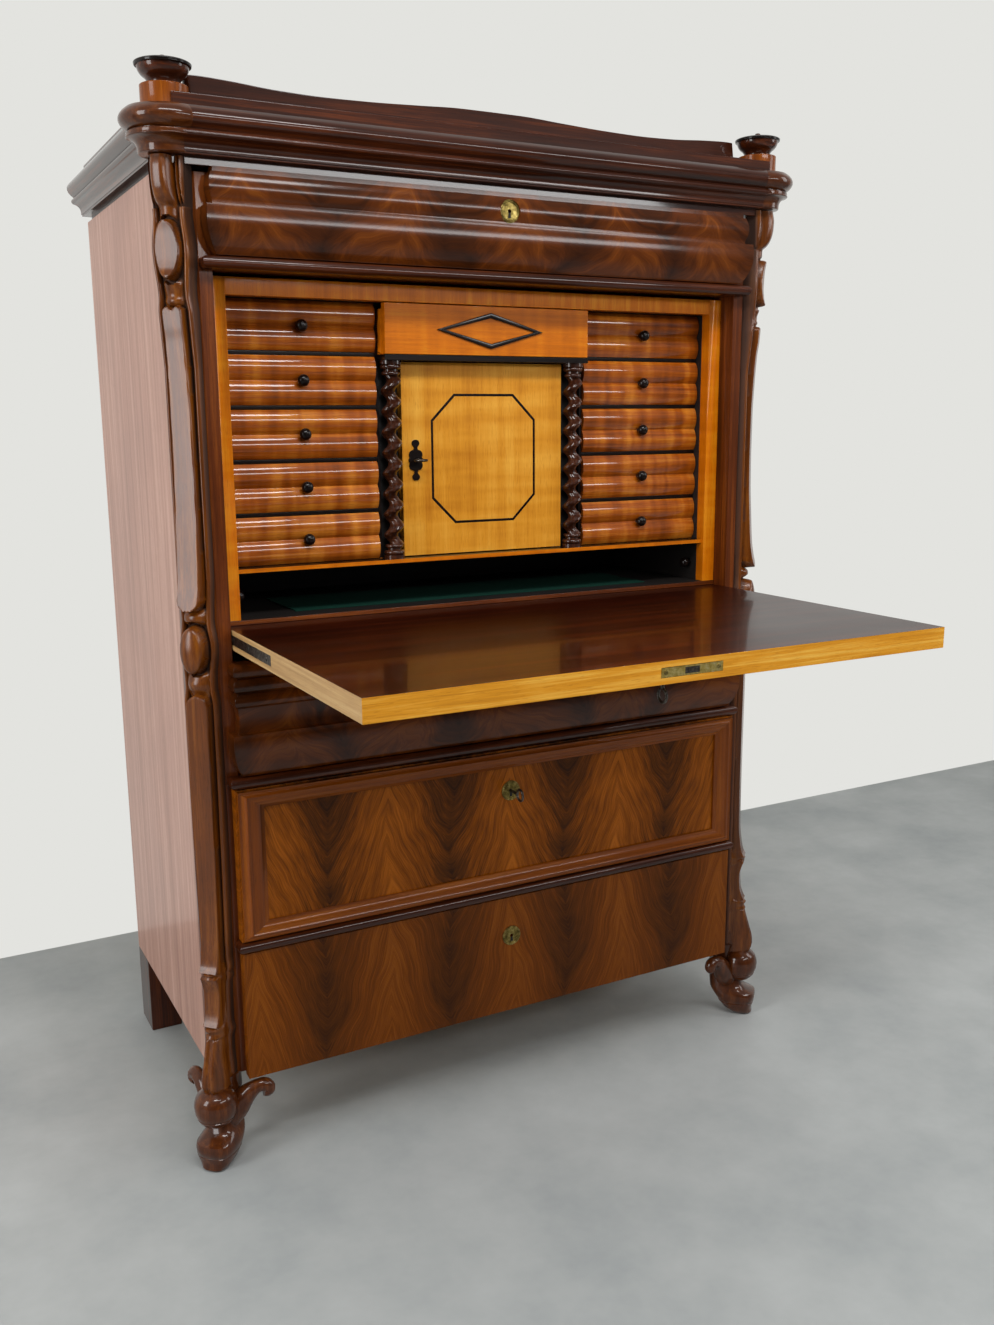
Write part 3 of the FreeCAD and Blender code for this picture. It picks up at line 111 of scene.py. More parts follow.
def straightWood(name, grain, tones, finish, stripe=9, contrast=1, roughness=0.36, ripple=0, recess=None):
    # sawn board: stripes a few mm wide along the grain, fine streaks, pores and slow clouds of tone
    material, tree, shader = newMaterial(name, **finish)
    place = addNode(tree, "ShaderNodeTexCoord", out="Object")
    along = addNode(tree, "ShaderNodeMapping", {"Vector": place, "Rotation": grainTurn[grain]})
    across = 1000 / stripe  # a stripe's width is in mm, and it is 45 times as long
    stripes = addNode(tree, "ShaderNodeMapping", {"Vector": along, "Scale": (across / 45, across, across)})
    broad = addNode(tree, "ShaderNodeTexNoise", {"Vector": stripes, "Scale": 1, "Detail": 4, "Distortion": 0.5})
    # streaks 1.4 mm wide and 55 mm long
    streaks = addNode(tree, "ShaderNodeMapping", {"Vector": along, "Scale": (18, 700, 700)})
    fine = addNode(tree, "ShaderNodeTexNoise", {"Vector": streaks, "Scale": 1, "Detail": 3})
    clouds = addNode(tree, "ShaderNodeTexNoise", {"Vector": along, "Scale": 5, "Detail": 3, "Distortion": 0.6})
    tone = 0.5 - 0.5 * contrast
    for layer, weight in ((broad, 0.55), (fine, 0.22), (clouds, 0.23)):
        tone = addNode(tree, "ShaderNodeMath", {0: layer, 1: weight * contrast, 2: tone}, operation="MULTIPLY_ADD")
    if ripple:  # curl across the grain, about 25 mm apart
        waves = addNode(tree, "ShaderNodeMapping", {"Vector": along, "Scale": (42, 6, 6)})
        curl = addNode(tree, "ShaderNodeTexNoise", {"Vector": waves, "Scale": 1, "Detail": 2})
        curl = addNode(tree, "ShaderNodeMath", {0: curl, 1: 0.5}, operation="SUBTRACT")
        tone = addNode(tree, "ShaderNodeMath", {0: curl, 1: ripple, 2: tone}, operation="MULTIPLY_ADD")
    colour = addNode(tree, "ShaderNodeValToRGB", {"Fac": tone},
                     stops=[(0.28, tones[0]), (0.5, tones[1]), (0.72, tones[2])])
    # pores 1.1 mm wide and 14 mm long, coarser than real ones so that they show
    pores = addNode(tree, "ShaderNodeMapping", {"Vector": along, "Scale": (70, 900, 900)})
    dash = addNode(tree, "ShaderNodeTexNoise", {"Vector": pores, "Scale": 1, "Detail": 1})
    dark = addNode(tree, "ShaderNodeMapRange", {"Value": dash, "From Min": 0.60, "From Max": 0.70, "To Max": 0.35})
    colour = addNode(tree, "ShaderNodeMix", {0: dark, 6: colour, 7: hexColour(tones[0])}, data_type="RGBA", out=2)
    shade = addNode(tree, "ShaderNodeMapRange", {"Value": clouds, "To Min": roughness - 0.09,
                                                 "To Max": roughness + 0.09})
    if recess:  # hollows darkened and dulled by what the piece's own attribute calls deep: partly old wax, partly painted shade
        depth = addNode(tree, "ShaderNodeAttribute", attribute_name=recess, out="Fac")
        colour = addNode(tree, "ShaderNodeMix", {0: depth, 6: colour, 7: hexColour("0c0401")},
                         data_type="RGBA", out=2)
        shade = addNode(tree, "ShaderNodeMath", {0: depth, 1: 0.8, 2: shade}, operation="MULTIPLY_ADD",
                        use_clamp=True)
    bump = addNode(tree, "ShaderNodeBump", {"Height": fine, "Strength": 0.12, "Distance": 0.0004})
    connect(tree, shader, colour, shade, bump)
    return material


def flameVeneer(name, leaf, rise, tones, contrast=1, blotch=0.0, fineness=1.0, rises="Z", wander=0.06, feather=0.72,
                gloss=0.22):
    # crotch mahogany in book-matched leaves: a dark spine in each leaf with plumes that sweep up to bright seams
    finish = dict(polish, Coat_Weight=gloss, Coat_Roughness=0.14, Specular_IOR_Level=0.05)
    material, tree, shader = newMaterial(name, **finish)
    place = addNode(tree, "ShaderNodeTexCoord", out="Object")
    sway = addNode(tree, "ShaderNodeTexNoise", {"Vector": place, "Scale": 7, "Detail": 2})
    axes = addNode(tree, "ShaderNodeSeparateXYZ", {0: place}).node.outputs
    swayed = addNode(tree, "ShaderNodeMath", {0: sway, 1: wander, 2: axes["X"]}, operation="MULTIPLY_ADD")
    shifted = addNode(tree, "ShaderNodeMath", {0: swayed, 1: leaf / 2 - wander / 2})
    fold = addNode(tree, "ShaderNodeMath", {0: shifted, 1: leaf / 2}, operation="PINGPONG")
    share = addNode(tree, "ShaderNodeMath", {0: fold, 1: 2 / leaf}, operation="MULTIPLY")
    arch = addNode(tree, "ShaderNodeMath", {0: share, 1: 1.3}, operation="POWER")
    spine = addNode(tree, "ShaderNodeMath", {0: share, 1: 0.6}, operation="POWER")
    sweep = addNode(tree, "ShaderNodeMath", {0: arch, 1: -rise, 2: axes[rises]}, operation="MULTIPLY_ADD")
    plume = addNode(tree, "ShaderNodeCombineXYZ", {"X": fold, "Z": sweep})
    # plumes 33 mm apart, strokes 4 mm and hair lines 1 mm
    broadMap = addNode(tree, "ShaderNodeMapping", {"Vector": plume, "Scale": (14, 14, 30)})
    broad = addNode(tree, "ShaderNodeTexNoise", {"Vector": broadMap, "Scale": 1, "Detail": 3, "Distortion": 0.7})
    strokeMap = addNode(tree, "ShaderNodeMapping", {"Vector": plume, "Scale": (58, 58, 230 * fineness)})
    strokes = addNode(tree, "ShaderNodeTexNoise", {"Vector": strokeMap, "Scale": 1, "Detail": 5, "Roughness": 0.62,
                                                   "Distortion": 0.35})
    hairMap = addNode(tree, "ShaderNodeMapping", {"Vector": plume, "Scale": (60, 60, 900)})
    hairs = addNode(tree, "ShaderNodeTexNoise", {"Vector": hairMap, "Scale": 1, "Detail": 2})
    tone = 0.5 - (0.44 + feather / 2 + blotch / 2) * contrast
    for layer, weight in ((spine, 0.38), (broad, 0.42 + blotch), (strokes, feather), (hairs, 0.16)):
        tone = addNode(tree, "ShaderNodeMath", {0: layer, 1: weight * contrast, 2: tone}, operation="MULTIPLY_ADD")
    colour = addNode(tree, "ShaderNodeValToRGB", {"Fac": tone},
                     stops=[(0.26, tones[0]), (0.46, tones[1]), (0.62, tones[2]), (0.8, tones[3])])
    shade = addNode(tree, "ShaderNodeMapRange", {"Value": broad, "To Min": 0.26, "To Max": 0.42})
    bump = addNode(tree, "ShaderNodeBump", {"Height": hairs, "Strength": 0.08, "Distance": 0.0003})
    connect(tree, shader, colour, shade, bump)
    return material


def mottled(name, tones, perMetre, roughness, spread, constants, bumpMm=0.05):
    # metal, cloth or paint: three tones in soft patches, so many to the metre, dull and smooth by turns, with fine grit
    material, tree, shader = newMaterial(name, **constants)
    place = addNode(tree, "ShaderNodeTexCoord", out="Object")
    patch = addNode(tree, "ShaderNodeTexNoise", {"Vector": place, "Scale": perMetre, "Detail": 5, "Roughness": 0.65})
    grit = addNode(tree, "ShaderNodeTexNoise", {"Vector": place, "Scale": perMetre * 9, "Detail": 2})
    colour = addNode(tree, "ShaderNodeValToRGB", {"Fac": patch},
                     stops=[(0.34, tones[0]), (0.52, tones[1]), (0.68, tones[2])])
    shade = addNode(tree, "ShaderNodeMapRange", {"Value": patch, "From Min": 0.3, "From Max": 0.7,
                                                 "To Min": roughness + spread, "To Max": roughness - spread})
    bump = addNode(tree, "ShaderNodeBump", {"Height": grit, "Strength": 0.25, "Distance": bumpMm / 1000})
    connect(tree, shader, colour, shade, bump)
    return material


grains = (("x", "lengthwise"), ("y", "depthwise"), ("z", "upright"))


def woodFamily(name, tones, finish, **settings):
    return {axis: straightWood(name + "_" + word, axis, tones, finish, **settings) for axis, word in grains}


# boards of the case: red-brown with dark pores under a soft shine
mahogany = woodFamily("polished_mahogany", ("260f04", "5a280b", "8c4a17"), polish)
# mouldings and rails: many coats have darkened them and left a stronger gloss
darkMahogany = woodFamily("dark_polished_mahogany", ("170702", "371505", "682f0d"), dict(polish, Coat_Weight=0.8))
# turned and scrolled pieces: browner, with the stripes cut through
carvedMahogany = woodFamily("carved_red_mahogany", ("1f0d04", "4a2208", "7c4417"), dict(polish, Coat_Weight=0.8),
                            stripe=9, contrast=0.75)
# pilasters: a rubbed glow on what stands proud; the hollows darkened towards black, partly old wax and partly painted
# shade
waxShadeCarving = straightWood("waxed_carved_mahogany", "z", ("281102", "613008", "965817"),
                            {"IOR": 1.5, "Specular_IOR_Level": 0.38}, contrast=0.75, roughness=0.24, recess="recess")
# veneered mouldings: warm and bright, with a short figure
crossMoulding = woodFamily("figured_moulding_mahogany", ("461e04", "783a06", "a35c16"), polish,
                           stripe=11, contrast=0.85)
# maple: golden, with a faint curl
maple = woodFamily("polished_maple", ("9a4a02", "c86b04", "e0931c"), polish, stripe=14, contrast=0.8, ripple=0.3)
mapleDoor = straightWood("figured_maple_door", "z", ("a8600c", "d08a24", "e6a840"), polish,
                         stripe=18, contrast=0.8, ripple=0.4)
mapleRoll = straightWood("rippled_maple_drawer_front", "x", ("5c2705", "984a0a", "c87a24"),
                         dict(polish, Coat_Weight=1, Coat_Roughness=0.05), stripe=10, ripple=0.6)  # glassy
# pine: nearly black and dull for the nest's case and the bed, pale and matt where it is only planed
nearBlackPine = woodFamily("dark_stained_pine", ("090605", "15100d", "221914"), {"IOR": 1.45}, roughness=0.55)
liningPine = woodFamily("planed_pine_lining", ("8d6236", "b08550", "c49c66"), {"IOR": 1.45}, stripe=12, roughness=0.72)
# pearwood dyed black: a close grain that hardly shows
ebony = woodFamily("ebonised_pearwood", ("070404", "120a08", "24170f"), polish, stripe=5, roughness=0.3)
# turned walnut: dark, with a bright line along each strand
twistWood = straightWood("dark_turned_walnut", "z", ("1a0b06", "36190d", "5c321c"), dict(polish, Coat_Weight=1),
                         stripe=5, roughness=0.3)
# veneer of the sides: pinkish, duller than the front, and paler than the wood itself: partly faded by daylight, partly
# a painted sheen of the pale wall
sideVeneer = straightWood("straight_mahogany_side_veneer", "z", ("7f5747", "ab7f6e", "cca694"),
                          dict(polish, Coat_Weight=0.35, Coat_Roughness=0.16), stripe=12, contrast=0.8, roughness=0.46)
# edges of the fall: rubbed to gold in front, bare of polish at the ends
edgeWood = straightWood("worn_golden_edge_wood", "x", ("9c6016", "cd8a22", "e8bb56"), polish, stripe=6, roughness=0.34)
bareEdge = straightWood("bare_worn_end_wood", "y", ("8a6236", "b08a56", "cbaa78"), {"IOR": 1.45}, stripe=7,
                        roughness=0.55)
# writing surface: deep brown that mirrors the compartment
fallTop = straightWood("glossy_mahogany_writing_surface", "x", ("110401", "2a0a02", "481804"),
                       dict(polish, Coat_Weight=0.28, Coat_Roughness=0.06), stripe=16)
# flame veneer of the fronts: dark feathers that rise from a spine through warm brown
flameFramed = flameVeneer("flame_mahogany_framed_panel", 0.208, 0.22, ("2c1502", "522802", "7c3f04", "a45a12"),
                          contrast=0.9, blotch=0.15)
flamePlain = flameVeneer("flame_mahogany_plain_drawer", 0.215, 0.3, ("2c1503", "4c2504", "6a3405", "8c4c10"),
                         contrast=0.8, fineness=1.1)
flameCushion = flameVeneer("flame_mahogany_cushion", 0.19, 0.07, ("1c0902", "3a1904", "582806", "7c420f"),
                           contrast=0.75, blotch=0.4, wander=0.25, feather=0.3, gloss=0.7)
flameFall = flameVeneer("flame_mahogany_fall", 0.215, 0.2, ("211003", "472405", "6f370a", "925019"), rises="Y")
# cast brass gone dull, a plate that sleeves have rubbed bright, and steel gone grey-brown
brass = mottled("aged_brass", ("4d4120", "7d6c3a", "a5935a"), 160, 0.44, 0.12, {"Metallic": 1})
brightBrass = mottled("rubbed_brass", ("9c8440", "cdb468", "ecd99a"), 160, 0.4, 0.1, {"Metallic": 1})
steel = mottled("worn_dark_steel", ("2a2623", "55504a", "7d7770"), 220, 0.42, 0.12, {"Metallic": 1})
# wool cloth: flat green, no shine, a pile drawn 1 mm coarse so that it shows
baize = mottled("green_wool_baize", ("04211a", "0a3026", "124034"), 900, 0.95, 0.04, {"Specular_IOR_Level": 0.1},
                bumpMm=0.4)
# the dark inside a keyhole or a screw's slot
keyholeDark = mottled("keyhole_shadow", ("050403", "080605", "0c0907"), 200, 0.8, 0.1, {})
print("materials ready")


def setMode(mode):
    bpy.ops.object.mode_set(mode=mode)


def smooth(degrees):
    bpy.ops.object.shade_smooth_by_angle(angle=math.radians(degrees))


def freshStart():
    if bpy.context.object and bpy.context.object.mode != "OBJECT":
        setMode("OBJECT")
    bpy.ops.object.select_all(action="DESELECT")


def makeActive(piece):
    freshStart()
    piece.select_set(True)
    bpy.context.view_layer.objects.active = piece


def editAll(piece):
    makeActive(piece)
    setMode("EDIT")
    bpy.ops.mesh.select_all(action="SELECT")


def settle(piece, name, body, materials, slot, *replaced):
    piece.name = piece.data.name = name
    piece.data.materials.clear()
    for material in materials:
        piece.data.materials.append(material)
    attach(piece, body)
    if replaced:
        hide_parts(*replaced)
    return piece


def loosePieces(node):
    # a copy of the CAD shape: doubles merged, flat faces joined, one object for each loose board
    piece = bpy.data.objects.new(node + "_copy", nodes[node].data.copy())
    scene.collection.objects.link(piece)
    makeActive(piece)
    bpy.ops.mesh.customdata_custom_splitnormals_clear()
    editAll(piece)
    bpy.ops.mesh.remove_doubles(threshold=0.00002)
    bpy.ops.mesh.dissolve_limited(angle_limit=math.radians(0.5))
    bpy.ops.mesh.separate(type="LOOSE")
    setMode("OBJECT")
    return list(bpy.context.selected_objects)


def ease(piece, width, segments=2):
    # sharp arrises rounded as a hand plane and years of polish leave them
    makeActive(piece)
    bevel = piece.modifiers.new("eased", "BEVEL")
    bevel.width, bevel.segments = width, segments
    bevel.limit_method, bevel.angle_limit = "ANGLE", math.radians(30)
    bpy.ops.object.modifier_apply(modifier="eased")
    smooth(35)
    flat = piece.modifiers.new("flat", "WEIGHTED_NORMAL")  # broad faces keep straight reflections
    flat.keep_sharp = True
    bpy.ops.object.modifier_apply(modifier="flat")


def span(piece):
    points = [v.co for v in piece.data.vertices]
    low = Vector([min(p[i] for p in points) for i in range(3)])
    high = Vector([max(p[i] for p in points) for i in range(3)])
    return low, high


def boards(node, family, slot, width):
    # every board of a node, with its grain along its longest side
    made = []
    for count, piece in enumerate(loosePieces(node), 1):
        ease(piece, width)
        low, high = span(piece)
        longest = max(range(3), key=lambda i: high[i] - low[i])
        material = family["xyz"[longest]] if isinstance(family, dict) else family
        made.append(settle(piece, "%s_part_%d" % (node, count), nodes[node]["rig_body"], [material], slot, node))
    return made


def partsNamed(word):
    return [piece for piece in scene.objects if word in piece.name]


# how far a face's normal has to point one way for its paint
squarely, broadly = 0.7, 0.6


def paintFaces(piece, material, test):
    piece.data.materials.append(material)
    index = len(piece.data.materials) - 1
    for face in piece.data.polygons:
        if test(face.center, face.normal):
            face.material_index = index


def drawProfile(points, steps=7):
    # (radius, height, bulge) in mm: each stretch is a line, or a curve that swells to its right by that share
    drawn = []
    for (r0, z0, bulge), (r1, z1, unused) in zip(points, points[1:]):
        drawn.append((r0 / 1000, z0 / 1000))
        if bulge:
            mx, mz = (r0 + r1) / 2 + 2 * bulge * (z1 - z0), (z0 + z1) / 2 - 2 * bulge * (r1 - r0)
            for i in range(1, steps):
                s = i / steps
                drawn.append((((1 - s) ** 2 * r0 + 2 * s * (1 - s) * mx + s * s * r1) / 1000,
                              ((1 - s) ** 2 * z0 + 2 * s * (1 - s) * mz + s * s * z1) / 1000))
    drawn.append((points[-1][0] / 1000, points[-1][1] / 1000))
    return drawn


def faceOutward(piece):
    editAll(piece)
    bpy.ops.mesh.normals_make_consistent(inside=False)
    setMode("OBJECT")


def drawLine(points):
    # a vertex at the first point, pulled along the others; stays in edit mode with all selected
    freshStart()
    bpy.ops.mesh.primitive_plane_add(size=0.001, location=(0, 0, 0))
    piece = bpy.context.object
    setMode("EDIT")
    bpy.ops.mesh.merge(type="CENTER")
    bpy.ops.transform.translate(value=points[0])
    for a, b in zip(points, points[1:]):
        bpy.ops.mesh.extrude_region_move(TRANSFORM_OT_translate={"value": [q - p for p, q in zip(a, b)]})
    bpy.ops.mesh.select_all(action="SELECT")
    return piece


def pulledOutline(points, pull):
    # an outline closed to one face, then pulled to a solid
    piece = drawLine(points)
    bpy.ops.mesh.edge_face_add()
    bpy.ops.mesh.extrude_region_move(TRANSFORM_OT_translate={"value": pull})
    faceOutward(piece)
    return piece


def turnedPiece(profile, at, steps=48, turn=None):
    # a profile spun about the axis as on a lathe
    piece = drawLine([(r, 0, z) for r, z in drawProfile(profile)])
    bpy.ops.mesh.spin(steps=steps, angle=2 * math.pi, center=(0, 0, 0), axis=(0, 0, 1))
    bpy.ops.mesh.select_all(action="SELECT")
    bpy.ops.mesh.remove_doubles(threshold=0.00001)
    faceOutward(piece)
    piece.data.transform(Matrix.Translation(at) @ (turn or Matrix.Identity(4)))
    smooth(32)
    return piece


def mirrorCopy(piece):
    # the same piece for the right-hand side, with its own mesh
    twin = bpy.data.objects.new(piece.name + "_twin", piece.data.copy())
    scene.collection.objects.link(twin)
    twin.data.transform(Matrix.Scale(-1, 4, (1, 0, 0)))
    faceOutward(twin)
    return twin


def slopeAt(stations, k):
    # slope at a station: level at peaks, so that nothing overshoots
    spans = [(b[1] - a[1]) / (b[0] - a[0]) for a, b in zip(stations[max(0, k - 1):k + 1], stations[max(1, k):k + 2])]
    if len(spans) == 1:
        return spans[0]
    return 0 if spans[0] * spans[1] <= 0 else 2 * spans[0] * spans[1] / (spans[0] + spans[1])


def between(stations, place):
    # smooth value of a station list at a place
    if place <= stations[0][0]:
        return stations[0][1]
    if place >= stations[-1][0]:
        return stations[-1][1]
    k = max(i for i, station in enumerate(stations) if station[0] <= place)
    (a, valueA), (b, valueB) = stations[k], stations[k + 1]
    s, wide = (place - a) / (b - a), b - a
    rise = s * s * (3 - 2 * s)
    slopes = slopeAt(stations, k) * (1 - s) - slopeAt(stations, k + 1) * s
    return valueA * (1 - rise) + valueB * rise + wide * s * (1 - s) * slopes


# the case, board by board: wood, slot, and how wide the arrises are eased, in metres
for node, family, slot, width in (
        ("side_panels", sideVeneer, "mahogany", 0.0015), ("corner_posts", mahogany, "mahogany", 0.0008),
        ("back_panel", liningPine, "lining_pine", 0.001), ("bottom_board", liningPine, "lining_pine", 0.001),
        ("drawer_rails", darkMahogany, "mahogany", 0.0006), ("drawer_runners", liningPine, "lining_pine", 0.001),
        ("top_board", mahogany, "mahogany", 0.001), ("blocking_course", darkMahogany, "mahogany", 0.0015),
        ("rear_feet", darkMahogany, "mahogany", 0.002),
        ("frieze_drawer_front", flameCushion, "flame_mahogany", 0.0006),
        ("moulded_drawer_front", flameCushion, "flame_mahogany", 0.0006),
        ("framed_drawer_front", flameFramed, "flame_mahogany", 0.0008),
        ("plain_drawer_front", flamePlain, "flame_mahogany", 0.0012),
        ("framed_drawer_moulding", crossMoulding["x"], "mahogany", 0.0005),
        ("nest_face_frame", maple["z"], "maple", 0.0008), ("nest_case", nearBlackPine, "lining_pine", 0.0008),
        ("centre_drawer", liningPine, "maple", 0.0008),
        ("frieze_drawer_box", liningPine, "lining_pine", 0.0008),
        ("moulded_drawer_box", liningPine, "lining_pine", 0.0008),
        ("framed_drawer_box", liningPine, "lining_pine", 0.0008),
        ("plain_drawer_box", liningPine, "lining_pine", 0.0008)):
    boards(node, family, slot, width)
frameLow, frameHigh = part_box("framed_drawer_moulding")
frameMiddle, frameHalf = (frameLow + frameHigh) / 2, (frameHigh - frameLow) / 2
for piece in partsNamed("framed_drawer_moulding_part"):  # upright grain past the mitres
    paintFaces(piece, crossMoulding["z"], lambda centre, normal:
               frameHalf.x - abs(centre.x) < frameHalf.z - abs(centre.z - frameMiddle.z))
for piece in partsNamed("drawer_box_part"):  # box sides have their grain front to back
    paintFaces(piece, liningPine["y"], lambda centre, normal: abs(normal.x) > squarely)
print("case and drawers eased")

# fall: glossy writing side, flame veneer outside, golden front edge, bare worn ends
for piece in boards("fall_board", flameFall, "flame_mahogany", 0.0015):
    paintFaces(piece, fallTop, lambda centre, normal: normal.z > squarely)
    paintFaces(piece, edgeWood, lambda centre, normal: normal.y < -broadly)
    paintFaces(piece, bareEdge, lambda centre, normal: abs(normal.x) > broadly)

# bed: dark inside, with a mahogany sill along its front
sill = {"back": 0.0225, "foot": 0.8}
for piece in boards("bed_board", nearBlackPine, "mahogany", 0.0008):
    paintFaces(piece, mahogany["x"], lambda centre, normal:
               centre.y < sill["back"] and normal.z > -0.5 and centre.z > sill["foot"])

# nest: black shelves and dividers, the lowest shelf edged with maple
mapleEdgeTop = 0.9
for piece in boards("nest_dividers", ebony, "ebonised_wood", 0.0005):
    paintFaces(piece, maple["x"], lambda centre, normal: normal.y < -broadly and centre.z < mapleEdgeTop)
boards("nest_door", mapleDoor, "maple", 0.001)

# small drawers: rolled maple front, pine box, black turned knob
smallDrawer = {"knobWidth": 0.03, "knobReach": 0.06, "frontReach": 0.04}
for node in ["small_drawer_%s_%d" % (side, row) for side in ("left", "right") for row in range(1, 6)]:
    for piece in boards(node, liningPine, "maple", 0.0004):
        low, high = span(piece)
        if high.x - low.x < smallDrawer["knobWidth"] and high.y < smallDrawer["knobReach"]:
            piece.data.materials[0] = ebony["x"]
        elif low.y < smallDrawer["frontReach"]:
            piece.data.materials[0] = mapleRoll
        paintFaces(piece, liningPine["y"], lambda centre, normal:
                   abs(normal.x) > squarely and centre.y > smallDrawer["frontReach"])
centreFront = 0.012  # the centre drawer's front starts before this, its box after it
for piece in partsNamed("centre_drawer_part"):
    if span(piece)[0].y < centreFront:
        piece.data.materials[0] = maple["x"]
for node, width in (("lozenge_moulding", 0.0022), ("nest_door_stringing", 0.0003), ("nest_door_escutcheon", 0.0006)):
    boards(node, ebony["x"], "ebonised_wood", width)
print("nest eased")

# corner capitals: cove, ring, swelling torus and drum, with an urn finial under a thin rimmed lid
cornerAxis = (-0.48873, -0.01922)
cornerCapital = {
    "steps": 64, "drum": (1.5031, 1.5319), "urn": (1.5321, 1.57), "lid": (1.5547, 1.5597),
    "profile": [
        (0, 1447, 0), (34, 1447, 0), (36.5, 1447.4, 0.2), (38, 1449.1, 0), (38.2, 1450.6, -0.2), (49.4, 1465.7, 0),
        (51, 1466, 0.3), (51.2, 1468.8, 0), (51.2, 1471.6, 0.3), (49.5, 1473.2, 0), (47.6, 1473.3, 0),
        (47.6, 1474.6, 0), (50.2, 1475.1, 0.36), (50.2, 1502.5, 0), (31.2, 1503, 0), (30.9, 1503.9, 0),
        (30.9, 1530.4, 0.3), (29.6, 1532, 0), (24, 1532, 0), (20.6, 1532.9, 0), (20.4, 1534.2, -0.08),
        (25, 1541.6, 0.12), (33.2, 1554.5, 0), (34.4, 1554.9, 0.3), (36.2, 1556.7, 0.3), (35.2, 1559.4, 0.1),
        (30, 1560.6, 0), (8, 1562.8, -0.1), (4.6, 1563.8, 0), (4.2, 1564.9, 0.3), (4.4, 1567.5, 0.25),
        (1.6, 1568.9, 0), (0, 1569, 0)],
}
leftCapital = turnedPiece(cornerCapital["profile"], (*cornerAxis, 0), cornerCapital["steps"])
for piece, side in ((leftCapital, "left"), (mirrorCopy(leftCapital), "right")):
    settle(piece, "corner_capital_" + side, "case", [carvedMahogany["x"]], "mahogany", "corner_capitals")
    for band, wood in (("urn", darkMahogany["x"]), ("lid", ebony["x"]), ("drum", crossMoulding["z"])):
        low, high = cornerCapital[band]
        paintFaces(piece, wood, lambda centre, normal: low < centre.z < high)
print("capitals turned")

# cornice: three lengths of one profile that run into the capitals, shares of its projection and height
cornice = {
    "low": 1436.5, "height": 66.5, "out": 28, "front": 48, "side": 499.5, "rear": 517, "depth": 40,
    "profile": [(-0.35, 0, 0), (-0.35, 0.15, 0), (0.2, 0.15, 0), (0.2, 0.19, 0), (0.26, 0.19, -0.2), (0.58, 0.42, 0),
                (0.68, 0.43, 0.3), (0.68, 0.564, 0), (0.62, 0.564, 0), (0.62, 0.58, 0.36), (0.62, 1, 0)],
}


def mouldingLength(face, start, end):
    # one length along x, its face so far out and its back "depth" behind that
    shape = [(out * cornice["out"], cornice["low"] + up * cornice["height"], bulge)
             for out, up, bulge in cornice["profile"]]
    shape = [(start / 1000, -face / 1000 - out, z) for out, z in drawProfile(shape)]
    inner = (cornice["depth"] - face) / 1000
    shape += [(start / 1000, inner, shape[-1][2]), (start / 1000, inner, shape[0][2])]
    piece = pulledOutline(shape, ((end - start) / 1000, 0, 0))
    ease(piece, 0.0006)
    return piece


frontCornice = mouldingLength(cornice["front"], cornerAxis[0] * 1000, -cornerAxis[0] * 1000)
settle(frontCornice, "cornice_front", "case", [darkMahogany["x"]], "mahogany", "cornice_moulding")
leftCornice = mouldingLength(cornice["side"], -cornice["rear"], -cornerAxis[1] * 1000)
leftCornice.data.transform(Matrix.Rotation(-math.pi / 2, 4, "Z"))
for piece, side in ((leftCornice, "left"), (mirrorCopy(leftCornice), "right")):
    settle(piece, "cornice_" + side, "case", [darkMahogany["y"]], "mahogany", "cornice_moulding")
print("cornice run into the capitals")

# gallery: a low board with one long wave, its ends rounded in plan
gallery = {
    "half": 457, "foot": 1519.6, "front": 0, "thick": 18, "round": 8.5, "step": 9,
    "wave": [(0, 1556), (50, 1555.8), (120, 1552.6), (200, 1549.2), (270, 1548), (330, 1549.4), (400, 1554),
             (440, 1555.5), (457, 1555)],
}
crest = range(-gallery["half"], gallery["half"] + 1, gallery["step"])
edgeLine = [(x, between(gallery["wave"], abs(x))) for x in crest]
edgeLine = [(-gallery["half"], gallery["foot"])] + edgeLine + [(gallery["half"], gallery["foot"])]
galleryBoard = pulledOutline([(x / 1000, gallery["front"] / 1000, z / 1000) for x, z in edgeLine],
                             (0, gallery["thick"] / 1000, 0))
setMode("EDIT")
bpy.ops.mesh.select_all(action="DESELECT")
bpy.ops.mesh.select_mode(type="EDGE")
setMode("OBJECT")
for edge in galleryBoard.data.edges:  # the four upright corners
    a, b = [galleryBoard.data.vertices[i].co for i in edge.vertices]
    edge.select = abs(a.x - b.x) < 1e-6 and abs(a.y - b.y) < 1e-6 and abs(a.z - b.z) > 0.01
setMode("EDIT")
bpy.ops.mesh.bevel(offset=gallery["round"] / 1000, segments=6)
bpy.ops.mesh.select_mode(type="VERT")
setMode("OBJECT")
ease(galleryBoard, 0.0015)
settle(galleryBoard, "gallery_wave", "case", [darkMahogany["x"]], "mahogany", "gallery_board")

